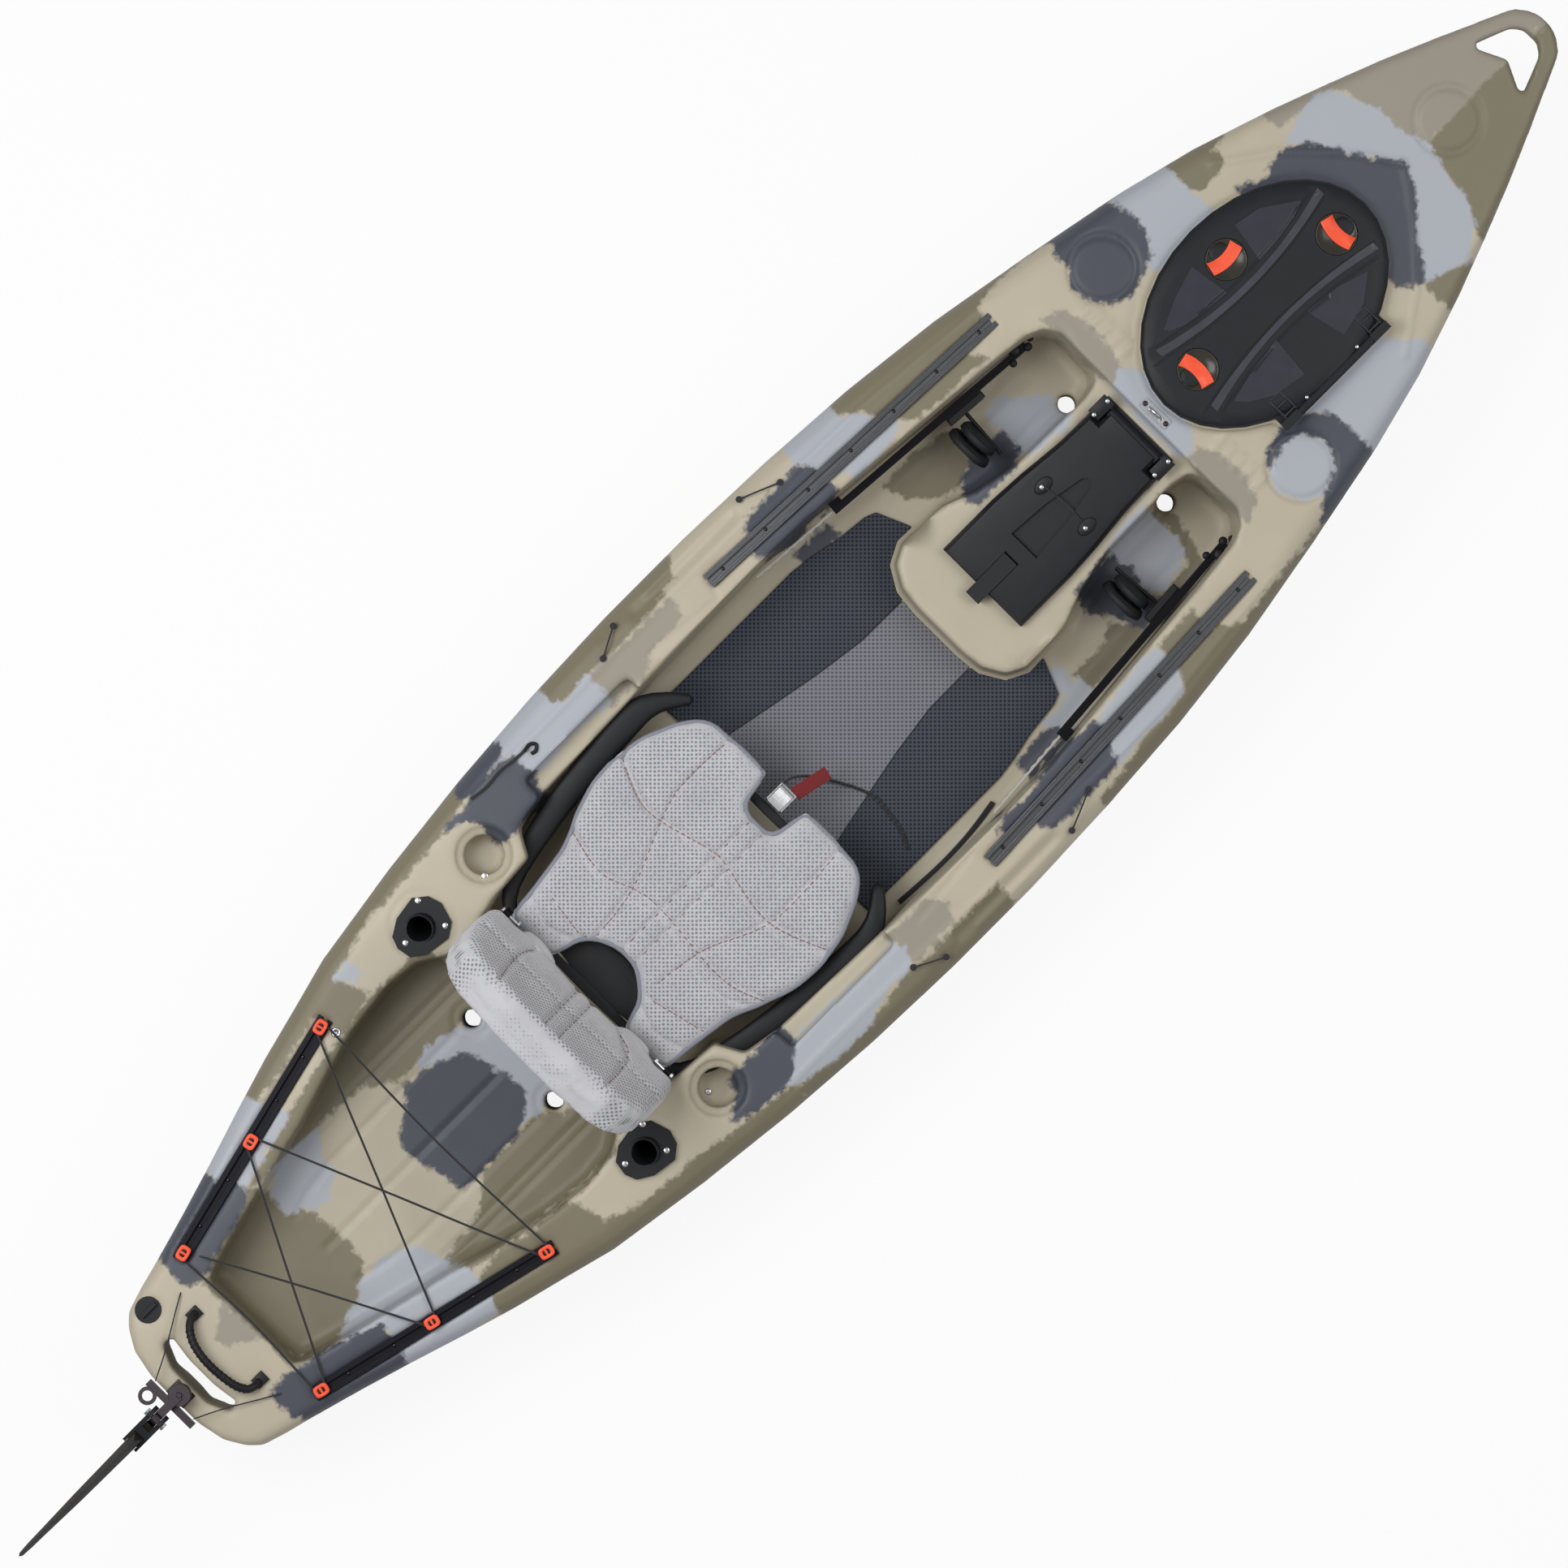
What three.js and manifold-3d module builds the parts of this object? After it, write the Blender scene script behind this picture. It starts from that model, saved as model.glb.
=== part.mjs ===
// A sit-on-top fishing kayak in millimetres: +X to the bow, +Y to port, +Z up.
// The origin is amidships on the centreline, on the flat underside of the keel.
import * as THREE from 'three';
import { mergeVertices } from 'three/addons/utils/BufferGeometryUtils.js';
import Module from 'manifold-3d';

const wasm = await Module();
wasm.setup();

// Hull: overall sizes and its moulded wall
const hullLength = 3500;
const hullBeam = 894;
const hullWall = 6;
const keelWidth = 64;
const deckHeight = 305; // at the origin's station, on the centreline
const gunwaleShare = 0.82; // height of the widest line amidships, of the deck's height
const sideDraft = 12; // how far a well's wall leans in from its mouth to its floor
const floorRound = 14;
const overrun = 40; // how far a cutting solid runs past the face it cuts
const gap = 0.3; // between pieces that touch
const keelEndShare = 0.16; // of the half beam, where the keel narrows at the ends
const halfLength = hullLength / 2;
const halfBeamMax = hullBeam / 2;

// Plan outline: share of the half length, share of the half beam
const planShares = [
  [-1, 0.14], [-0.994, 0.26], [-0.982, 0.34], [-0.97, 0.385], [-0.943, 0.418], [-0.914, 0.447],
  [-0.857, 0.51], [-0.8, 0.577], [-0.743, 0.648], [-0.686, 0.715], [-0.629, 0.772], [-0.571, 0.832],
  [-0.457, 0.9], [-0.343, 0.951], [-0.229, 0.984], [-0.114, 1], [0, 1], [0.114, 0.983],
  [0.229, 0.953], [0.343, 0.9], [0.457, 0.821], [0.571, 0.732], [0.657, 0.645], [0.743, 0.532],
  [0.8, 0.447], [0.857, 0.358], [0.914, 0.26], [0.943, 0.208], [0.971, 0.159], [0.986, 0.13],
  [0.996, 0.078], [1, 0.03],
];
// Keel rise as a share of the bow's height
const keelShares = [
  [-1, 0.34], [-0.971, 0.22], [-0.914, 0.11], [-0.857, 0.055], [-0.743, 0.012], [-0.629, 0],
  [0.514, 0], [0.629, 0.012], [0.743, 0.06], [0.829, 0.17], [0.886, 0.36], [0.926, 0.62],
  [0.957, 0.8], [0.986, 0.87], [1, 0.9],
];
// Height of the widest line as a share of its height amidships
const gunwaleShares = [
  [-1, 1.03], [-0.571, 1.04], [0, 1], [0.4, 1.06], [0.6, 1.16], [0.8, 1.32], [0.914, 1.44], [1, 1.53],
];
// Height of the deck on the centreline as a share of its height amidships
const deckShares = [
  [-1, 0.975], [-0.9, 0.985], [-0.571, 1.01], [0, 1], [0.343, 1.035], [0.457, 1.08], [0.6, 1.12],
  [0.743, 1.16], [0.886, 1.25], [1, 1.305],
];
// Fullness of the bottom: 1 is the broad section amidships, 0 the veed one at the ends
const fullnessShares = [[-1, 0.35], [-0.857, 0.7], [-0.571, 1], [0.343, 1], [0.629, 0.7], [0.857, 0.2], [1, 0]];
// Half section from the keel to the widest line: share of the half beam, share of the side's height
const fullShares = [[0.2, 0.012], [0.33, 0.06], [0.5, 0.03], [0.72, 0.06], [0.88, 0.17], [0.96, 0.38], [0.99, 0.66], [1, 1]];
const veeShares = [[0.2, 0.13], [0.32, 0.26], [0.46, 0.41], [0.61, 0.56], [0.75, 0.7], [0.87, 0.82], [0.95, 0.91], [1, 1]];
// Half section from the widest line to the centreline: share of the half beam, share of the deck's rise
const rimShares = [[0.985, 0.38], [0.95, 0.72], [0.895, 0.86], [0.5, 0.97], [0, 1]];

const gunwaleHeight = deckHeight * gunwaleShare;
const bowHeight = deckHeight * deckShares[deckShares.length - 1][1];

// Reads a table of shares as a smooth curve and gives its value at a share of the length
function curveOf(shares) {
  const slope = shares.map((point, i) => {
    const before = shares[Math.max(i - 1, 0)];
    const after = shares[Math.min(i + 1, shares.length - 1)];
    return (after[1] - before[1]) / (after[0] - before[0]);
  });
  return (at) => {
    let i = 0;
    while (i < shares.length - 2 && at > shares[i + 1][0]) i += 1;
    const span = shares[i + 1][0] - shares[i][0];
    const t = THREE.MathUtils.clamp((at - shares[i][0]) / span, 0, 1);
    const rise = shares[i + 1][1] - shares[i][1];
    const start = slope[i] * span;
    const end = slope[i + 1] * span;
    return shares[i][1] + t * (start + t * (3 * rise - 2 * start - end + t * (start + end - 2 * rise)));
  };
}
const planCurve = curveOf(planShares);
const keelCurve = curveOf(keelShares);
const gunwaleCurve = curveOf(gunwaleShares);
const deckCurve = curveOf(deckShares);
const fullnessCurve = curveOf(fullnessShares);
const halfBeamAt = (x) => halfBeamMax * planCurve(x / halfLength);
const keelAt = (x) => bowHeight * Math.max(keelCurve(x / halfLength), 0);
const gunwaleAt = (x) => gunwaleHeight * gunwaleCurve(x / halfLength);
const deckAt = (x) => deckHeight * deckCurve(x / halfLength);

// Closed surface from corner points and triangles, turned so that its faces point out
function closedGeometry(points, triangles) {
  let volume = 0;
  for (const [a, b, c] of triangles) volume += points[a].dot(points[b].clone().cross(points[c]));
  const turned = volume < 0 ? triangles.map(([a, b, c]) => [a, c, b]) : triangles;
  const geometry = new THREE.BufferGeometry();
  geometry.setAttribute('position', new THREE.Float32BufferAttribute(points.flatMap((p) => p.toArray()), 3));
  geometry.setIndex(turned.flat());
  return geometry;
}

// Triangles that fill a flat ring and run round it the way the ring does
function capTriangles(ring) {
  const triangles = THREE.ShapeUtils.triangulateShape(ring, []);
  const areas = triangles.map((corners) => THREE.ShapeUtils.area(corners.map((i) => ring[i])));
  const sameWay = areas.reduce((sum, area) => sum + area, 0) * THREE.ShapeUtils.area(ring) > 0;
  return sameWay ? triangles : triangles.map(([a, b, c]) => [a, c, b]);
}

// Skin over rings of equal count, capped at both ends; flatten gives a ring point's place in its own plane
function loft(rings, flatten) {
  const count = rings[0].length;
  const triangles = [];
  for (let r = 0; r < rings.length - 1; r += 1) {
    for (let i = 0; i < count; i += 1) {
      const a = r * count + i;
      const b = r * count + ((i + 1) % count);
      triangles.push([a, b, b + count], [a, b + count, a + count]);
    }
  }
  const last = (rings.length - 1) * count;
  for (const [a, b, c] of capTriangles(rings[0].map(flatten))) triangles.push([a, c, b]);
  for (const [a, b, c] of capTriangles(rings[rings.length - 1].map(flatten))) {
    triangles.push([last + a, last + b, last + c]);
  }
  return closedGeometry(rings.flat(), triangles);
}

// Merged solid for joining and cutting
function solid(geometry) {
  const bare = geometry.clone();
  bare.deleteAttribute('normal');
  bare.deleteAttribute('uv');
  const merged = mergeVertices(bare, 1e-4);
  return new wasm.Manifold(new wasm.Mesh({
    numProp: 3,
    vertProperties: new Float32Array(merged.attributes.position.array),
    triVerts: new Uint32Array(merged.index.array),
  }));
}

function geometryOf(manifold) {
  const mesh = manifold.getMesh();
  const geometry = new THREE.BufferGeometry();
  geometry.setAttribute('position', new THREE.BufferAttribute(mesh.vertProperties, 3));
  geometry.setIndex(new THREE.BufferAttribute(mesh.triVerts, 1));
  return geometry;
}

// Moves each corner of a closed outline outwards by a distance
function offsetOutline(outline, distance) {
  const area = THREE.ShapeUtils.area(outline);
  const side = Math.sign(area) * distance;
  return outline.map((point, i) => {
    const before = outline[(i + outline.length - 1) % outline.length];
    const after = outline[(i + 1) % outline.length];
    const first = point.clone().sub(before).normalize();
    const second = after.clone().sub(point).normalize();
    const normal = new THREE.Vector2(first.y + second.y, -first.x - second.x).normalize();
    const widening = Math.max(normal.dot(new THREE.Vector2(first.y, -first.x)), 0.5);
    return point.clone().addScaledVector(normal, side / widening);
  });
}

const flattenPlan = (p) => new THREE.Vector2(p.x, p.y);
const flattenSection = (p) => new THREE.Vector2(p.y, p.z);
const ringAt = (outline, z) => outline.map((p) => new THREE.Vector3(p.x, p.y, z));

// Solid that fills a well: leaning walls, a rounded foot and an open mouth, grown by a distance
function wellFill(outline, floor, mouth, grow, round = floorRound) {
  const inset = (depth) => offsetOutline(outline, grow - depth);
  return loft([
    ringAt(inset(sideDraft + round), floor - grow),
    ringAt(inset(sideDraft), floor - grow + round),
    ringAt(inset(0), mouth),
  ], flattenPlan);
}

function prism(outline, low, high) {
  return loft([ringAt(outline, low), ringAt(outline, high)], flattenPlan);
}

// A half outline from one end round to the other, closed by its mirror image
const mirrored = (half) => [...half, ...half.slice().reverse().map(([x, y]) => [x, -y])];
const toOutline = (pairs) => pairs.map(([x, y]) => new THREE.Vector2(x, y));

function circleOutline(x, y, radius, sides = 16) {
  return Array.from({ length: sides }, (unused, i) => {
    const angle = (i * 2 * Math.PI) / sides;
    return new THREE.Vector2(x + radius * Math.cos(angle), y + radius * Math.sin(angle));
  });
}

function ovalOutline(x, y, along, across, sides = 32) {
  return circleOutline(0, 0, 1, sides).map((p) => new THREE.Vector2(x + p.x * along, y + p.y * across));
}

// Rectangle with round corners, from its rear and front ends and its half width
function roundedOutline(rear, front, halfWidth, round, steps = 2) {
  const corners = [[front - round, -halfWidth + round], [front - round, halfWidth - round],
    [rear + round, halfWidth - round], [rear + round, -halfWidth + round]];
  return corners.flatMap(([x, y], corner) => Array.from({ length: steps + 1 }, (unused, i) => {
    const angle = (corner - 1 + i / steps) * (Math.PI / 2);
    return new THREE.Vector2(x + round * Math.cos(angle), y + round * Math.sin(angle));
  }));
}

// Outline in X and Z run across the boat between two places in Y
function acrossProfile(profile, fromY, toY) {
  const rings = [fromY, toY].map((y) => profile.map(([x, z]) => new THREE.Vector3(x, y, z)));
  return loft(rings, (p) => new THREE.Vector2(p.z, p.x));
}

// Outline in Y and Z run along the boat between two places in X
function alongProfile(profile, fromX, toX) {
  const rings = [fromX, toX].map((x) => profile.map(([y, z]) => new THREE.Vector3(x, y, z)));
  return loft(rings, flattenSection);
}

// Round bar between two points
function rod(from, to, radius, sides = 12) {
  const along = to.clone().sub(from);
  const bar = new THREE.CylinderGeometry(radius, radius, along.length(), sides);
  const turn = new THREE.Quaternion().setFromUnitVectors(new THREE.Vector3(0, 1, 0), along.clone().normalize());
  bar.applyQuaternion(turn);
  const middle = from.clone().add(to).multiplyScalar(0.5);
  return bar.translate(middle.x, middle.y, middle.z);
}

function block(length, width, height, x, y, z) {
  return new THREE.BoxGeometry(length, width, height).translate(x, y, z);
}

// Block from its low and high faces on each axis
function slab(xs, ys, zs) {
  const middle = ([low, high]) => (low + high) / 2;
  return block(...[xs, ys, zs].map(([low, high]) => Math.abs(high - low)), middle(xs), middle(ys), middle(zs));
}

// Solid of revolution about Z from pairs of radius and height, closed on the axis
function turned(profile, sides = 24) {
  const points = profile.map(([radius, height]) => new THREE.Vector2(radius, height));
  return new THREE.LatheGeometry(points, sides).rotateX(Math.PI / 2);
}

// A route whose samples follow its points, so that a bend gets as many as a long straight
class PointwiseCurve extends THREE.CatmullRomCurve3 {
  getPointAt(u, target) {
    return this.getPoint(u, target);
  }

  getTangentAt(u, target) {
    return this.getTangent(u, target);
  }
}

function tubeAlong(points, radius, stepsPerPoint = 2, sides = 8) {
  const route = new PointwiseCurve(points, false, 'centripetal');
  const section = new THREE.Shape(circleOutline(0, 0, radius, sides));
  return new THREE.ExtrudeGeometry(section, { steps: stepsPerPoint * (points.length - 1), extrudePath: route });
}

function barAlong(points, width, height, stepsPerPoint = 2) {
  const section = new THREE.Shape(roundedOutline(-height / 2, height / 2, width / 2, Math.min(width, height) / 4, 1));
  const route = new PointwiseCurve(points, false, 'centripetal');
  return new THREE.ExtrudeGeometry(section, { steps: stepsPerPoint * (points.length - 1), extrudePath: route });
}

const vec = (x, y, z) => new THREE.Vector3(x, y, z);
const asSolid = (shape) => (shape.isBufferGeometry ? solid(shape) : shape);
const joined = (...shapes) => shapes.map(asSolid).reduce((all, next) => all.add(next));
const without = (base, ...cutters) => cutters.map(asSolid).reduce((rest, cutter) => rest.subtract(cutter), asSolid(base));

const finishes = {
  hullPlastic: { color: '#beb6a4', roughness: 0.55, metalness: 0 },
  blackPlastic: { color: '#26272b', roughness: 0.5, metalness: 0 },
  blackAlloy: { color: '#2b2c31', roughness: 0.4, metalness: 0.8 },
  orangePlastic: { color: '#f0583a', roughness: 0.45, metalness: 0 },
  stainless: { color: '#c9cacc', roughness: 0.25, metalness: 1 },
  blackCord: { color: '#1d1d20', roughness: 0.9, metalness: 0 },
  greyMesh: { color: '#b4b4b8', roughness: 0.95, metalness: 0 },
  darkFoam: { color: '#3c414c', roughness: 0.9, metalness: 0 },
  greyFoam: { color: '#7d7e82', roughness: 0.9, metalness: 0 },
  paleRack: { color: '#b9b7ae', roughness: 0.6, metalness: 0 },
  redWebbing: { color: '#8c2f31', roughness: 0.9, metalness: 0 },
};

const kayak = new THREE.Group();

function addPart(name, shape, finish, place) {
  const geometry = shape.isBufferGeometry ? shape : geometryOf(shape);
  const mesh = new THREE.Mesh(geometry, new THREE.MeshStandardMaterial(finishes[finish]));
  mesh.name = name;
  if (place) place(mesh);
  kayak.add(mesh);
  return mesh;
}

// The same placing, applied to a cutting solid
function placedCopy(geometry, place) {
  const carrier = new THREE.Object3D();
  place(carrier);
  carrier.updateMatrix();
  return geometry.applyMatrix4(carrier.matrix);
}

const sides = [['port', 1], ['starboard', -1]];
const degrees = THREE.MathUtils.degToRad;

function hullSection(x, inset) {
  const half = Math.max(halfBeamAt(x) - inset, hullWall);
  const keel = keelAt(x) + inset;
  const gunwale = Math.max(gunwaleAt(x), keel + inset);
  const deck = deckAt(x) - inset;
  const full = fullnessCurve(x / halfLength);
  const keelHalf = Math.min(keelWidth / 2, half * keelEndShare);
  const port = [[keelHalf, keel]];
  fullShares.forEach(([y, z], i) => {
    const across = THREE.MathUtils.lerp(veeShares[i][0], y, full) * half;
    const up = THREE.MathUtils.lerp(veeShares[i][1], z, full) * (gunwale - keel);
    port.push([Math.max(across, keelHalf), keel + up]);
  });
  for (const [y, z] of rimShares) port.push([half * y, gunwale + (deck - gunwale) * z]);
  const starboard = port.slice(0, -1).reverse().map(([y, z]) => [-y, z]);
  return [...port, ...starboard].map(([y, z]) => vec(x, y, z));
}

// Places along the hull where its sections are drawn, from the stern to the bow
const stations = planShares.map(([share]) => share * halfLength);

function hullLoft(inset, sternEnd, bowEnd, every = 1) {
  const inside = stations.filter((x, i) => i % every === 0 && x > sternEnd + hullWall && x < bowEnd - hullWall);
  return solid(loft([sternEnd, ...inside, bowEnd].map((x) => hullSection(x, inset)), flattenSection));
}

// Height of the bare deck at a place
function deckTop(x, y) {
  const across = Math.abs(y) / halfBeamAt(x);
  const line = [...rimShares].reverse();
  let i = 0;
  while (i < line.length - 2 && across > line[i + 1][0]) i += 1;
  const part = THREE.MathUtils.clamp((across - line[i][0]) / (line[i + 1][0] - line[i][0]), 0, 1);
  const rise = THREE.MathUtils.lerp(line[i][1], line[i + 1][1], part);
  return THREE.MathUtils.lerp(gunwaleAt(x), deckAt(x), rise);
}

// Tank well behind the seat, in shares of the half length and the half beam
const tankFloor = 172;
const tankShares = [
  [-0.891, 0.255], [-0.857, 0.3], [-0.811, 0.347], [-0.709, 0.44], [-0.657, 0.503], [-0.6, 0.56],
  [-0.543, 0.586], [-0.503, 0.57], [-0.48, 0.515], [-0.457, 0.468], [-0.44, 0.47], [-0.417, 0.5],
];
// Cockpit and the two foot wells round the console, in the same shares
const cockpitFloor = 110;
const cockpitShares = [
  [-0.434, 0.5], [-0.4, 0.53], [-0.349, 0.545], [-0.333, 0.66], [-0.286, 0.69], [-0.137, 0.71],
  [0.03, 0.722], [0.114, 0.71], [0.229, 0.668], [0.343, 0.63], [0.397, 0.605], [0.418, 0.57],
  [0.428, 0.5], [0.426, 0.31], [0.418, 0.252], [0.397, 0.233], [0.3, 0.237], [0.25, 0.275],
  [0.214, 0.329], [0.16, 0.336], [0.142, 0.3], [0.13, 0.22], [0.127, 0.12],
];
const scaled = ([x, y]) => [x * halfLength, y * halfBeamMax];
const scaledOutline = (shares) => toOutline(mirrored(shares.map(scaled)));
const tankOutline = scaledOutline(tankShares);
const cockpitOutline = scaledOutline(cockpitShares);
const mouthHeight = bowHeight + overrun;
const scupperRadius = 18;
const scupperShares = [[-0.508, 0.237], [0.384, 0.284]];
const scuppers = scupperShares.map(scaled);

// Console between the foot wells: its top is level, then climbs to the foredeck
const consoleHeight = 215;
const consoleRear = halfLength * 0.1286;
const consoleLength = 517;
const consoleFront = consoleRear + consoleLength;
const consoleLevel = 95;
const consoleHalfWidth = 156;
const consoleSlope = Math.atan2(deckHeight - consoleHeight, consoleFront - consoleRear - consoleLevel);
const podLength = 384;
const podFront = consoleFront - 26; // leaves the console's front wall whole
const podRear = podFront - podLength;
const podHalfWidth = 84;
const podFloor = cockpitFloor + 16;
const podRound = 28;
const podOutline = (grow) => roundedOutline(podRear - grow, podFront + grow, podHalfWidth + grow, podRound);

// Bow hatch: an oval ring on a raised seat, with the hinge along its starboard side
const hatchLength = 512;
const hatchWidth = 374;
const hatchSpace = 38; // between the console and the hatch
const hatchX = consoleFront + hatchSpace + hatchLength / 2;
const hatchSeatRise = 4; // above the deck at the hatch's front
const hatchSeatHeight = deckAt(hatchX + hatchLength / 2) + hatchSeatRise;
const hatchSeatMargin = 4;
const hatchRingWidth = 42;
const hatchSides = 32;
const hatchOval = (grow) => ovalOutline(hatchX, 0, hatchLength / 2 + grow, hatchWidth / 2 + grow, hatchSides);
const hingeLength = 264;
const hingeRear = hatchX - hingeLength / 2 - 1;
const hingeFront = hingeRear + hingeLength;
const hingeSide = hatchWidth / 2 + 3; // how far out the hinge's base reaches
const hingeBaseWidth = 40;
const hingeOutline = (grow) => roundedOutline(hingeRear - grow, hingeFront + grow, hingeBaseWidth / 2 + grow, hatchSeatMargin)
  .map((p) => new THREE.Vector2(p.x, p.y - hingeSide + hingeBaseWidth / 2));

// Gear tracks let into the side decks, port side; their ends as shares of the half length and half beam
const trackWidth = 29;
const trackHeight = 13;
const trackDepth = 10; // how deep its bed is cut into the deck
const trackEnd = (share, beamShare) => vec(share * halfLength, beamShare * halfBeamMax, 0);
const frontTrack = { rear: trackEnd(-0.0126, 0.801), front: trackEnd(0.3863, 0.734) };
const rearTrack = { rear: trackEnd(-0.8937, 0.385), front: trackEnd(-0.6103, 0.653) };
const trackLength = (track) => track.front.distanceTo(track.rear);

function trackPlace(track, side, lift = 0, share = 0) {
  const end = ({ x, y }) => vec(x, side * y, deckTop(x, y) - trackDepth);
  const rear = end(track.rear);
  const along = end(track.front).sub(rear);
  return (object) => {
    object.position.copy(rear).addScaledVector(along, share);
    object.position.z += lift;
    object.rotation.order = 'ZYX';
    object.rotation.z = Math.atan2(along.y, along.x);
    object.rotation.y = -Math.atan2(along.z, Math.hypot(along.x, along.y));
  };
}

// Flush rod holders behind the seat: a rod in them leans aft
const holderX = halfLength * -0.4743;
const holderY = halfBeamMax * 0.64;
const holderBore = 24;
const holderWall = 3;
const holderLean = degrees(-22);
const holderDepth = 190;
const holderFlange = 5; // its thickness
const holderHalfLength = 57;
const holderHalfWidth = 49;
const holderTop = deckTop(holderX, holderY - holderHalfWidth) + gap;

function holderPlace(side) {
  return (object) => {
    object.position.set(holderX, side * holderY, holderTop);
    object.rotation.y = holderLean;
  };
}

// Cup recesses, bow recesses and the drain's round seat
const cupX = halfLength * -0.376;
const cupY = halfBeamMax * 0.667;
const cupRadius = 52;
const cupStepRadius = 37;
const cupStep = 14;
const cupDepth = 72;
const cupTop = deckTop(cupX, cupY);
const dishDepth = 4;
const dishRadius = 60;
const dishShares = [[0.5017, 0.5638], [0.5017, -0.5638], [0.8583, 0]];
const sternEnd = -halfLength;
const drainX = sternEnd + 82;
const drainY = halfBeamMax * 0.331;
const drainFlange = 25;
const drainStem = 13;
const drainSeatDrop = 6;
const drainSeat = deckTop(drainX, drainY) - drainSeatDrop;

// Stern slot and bow loop, which run through the hull
const slotShares = [[-0.979, 0.1], [-0.968, 0.195], [-0.956, 0.185], [-0.96, 0.08]];
const loopShares = [
  [0.929, 0.13], [0.934, 0.14], [0.971, 0.08], [0.979, 0.035], [0.9795, -0.035], [0.971, -0.08], [0.934, -0.14],
  [0.929, -0.13], [0.945, 0],
];

// Keel wheel under the stern and the arch it turns in
const wheelX = sternEnd + 160;
const wheelRadius = 66;
const wheelWidth = 44;
const wheelHeight = 78; // of its axle above the ground
const wheelClearance = 5;
const wheelArchTop = 163;
const axleRadius = 5;
const axleHalf = wheelWidth / 2 + wheelClearance + hullWall;

// Slots in the side decks that the seat's wings slide in
const seatX = halfLength * -0.4017; // where the seat's back pivots
const seatSlotLength = 264;
const seatSlotRear = seatX + 191;
const seatSlotFront = seatSlotRear + seatSlotLength;
const seatSide = halfBeamMax * 0.69; // half the cockpit's width beside the seat
const seatSlotOuter = seatSide + 33;
const seatSlotInner = seatSide - 12;
const seatSlotDepth = 35;
const seatSlotFloor = deckTop((seatSlotRear + seatSlotFront) / 2, seatSlotOuter) - seatSlotDepth;

// Holes for the steering cables and the rudder's pintle
const cableHoleX = sternEnd + 147;
const cableHoleY = halfBeamMax * 0.289;
const cableRadius = 1.5;
const cableHoleRadius = 4;
const cableBore = 2.5; // radius of its hole in the foot brace
const cableEndRoom = 1;
const railX = consoleRear + 5; // aft end of the foot braces
const railZ = cockpitFloor + 90;
const railRearRoom = 9.6; // from the wall's top to the rail's middle
const railRearY = halfBeamMax * 0.668 - railRearRoom;
const cableExitX = railX + 2;
const cableExitInner = railRearY - 4;
const cableExitOuter = railRearY + 41;
const pintleX = sternEnd + 17;
const pintleRadius = 5;
const pintleDepth = 60;

const openAbove = (outline, floor) => solid(prism(outline, floor, mouthHeight));
const through = (outline, grow) => solid(prism(offsetOutline(outline, grow), -overrun, mouthHeight));
const uprightRod = (x, y, low, high, radius, round = 10) => solid(rod(vec(x, y, low), vec(x, y, high), radius, round));

// Everything cut into the deck and keel; grown by the wall, it is what the hollow inside keeps clear of
function hullRecesses(grow) {
  const circleSteps = grow > 0 ? 8 : 16;
  const consoleCut = [
    [consoleRear - overrun, consoleHeight - grow], [consoleRear + consoleLevel, consoleHeight - grow],
    [consoleFront + grow, deckHeight - grow], [consoleFront + grow, mouthHeight], [consoleRear - overrun, mouthHeight],
  ];
  const wheelReach = wheelRadius + wheelClearance + grow;
  const arch = roundedOutline(wheelX - wheelReach, wheelX + wheelReach, wheelWidth / 2 + wheelClearance + grow, wheelClearance);
  const cuts = [
    solid(wellFill(tankOutline, tankFloor, mouthHeight, grow)),
    solid(wellFill(cockpitOutline, cockpitFloor, mouthHeight, grow)),
    openAbove(podOutline(grow), podFloor - grow),
    solid(acrossProfile(consoleCut, -consoleHalfWidth - grow, consoleHalfWidth + grow)),
    solid(prism(arch, -overrun, wheelArchTop + grow)),
  ];
  if (grow === 0) {
    for (const [x, y] of dishShares.map(scaled)) {
      cuts.push(openAbove(circleOutline(x, y, dishRadius, circleSteps), deckTop(x + dishRadius, y) - dishDepth));
    }
  }
  for (const [, side] of sides) {
    const slot = [
      [seatSlotRear, side * seatSlotInner], [seatSlotFront, side * seatSlotInner],
      [seatSlotFront, side * seatSlotOuter], [seatSlotRear, side * seatSlotOuter],
    ];
    cuts.push(
      openAbove(circleOutline(cupX, side * cupY, cupRadius + grow, circleSteps), cupTop - cupStep - grow),
      openAbove(circleOutline(cupX, side * cupY, cupStepRadius + grow, circleSteps), cupTop - cupDepth - grow),
      openAbove(offsetOutline(toOutline(slot), grow), seatSlotFloor - grow),
    );
    for (const track of [frontTrack, rearTrack]) {
      const room = gap + grow;
      const bed = slab([-room, trackLength(track) + room], [-trackWidth / 2 - room, trackWidth / 2 + room], [-grow, overrun]);
      cuts.push(solid(placedCopy(bed, trackPlace(track, side, -gap))));
    }
  }
  return joined(...cuts);
}

const holderSleeve = (radius, floor, top) => turned([[0, floor], [radius, floor], [radius, top], [0, top]], 16);

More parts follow.
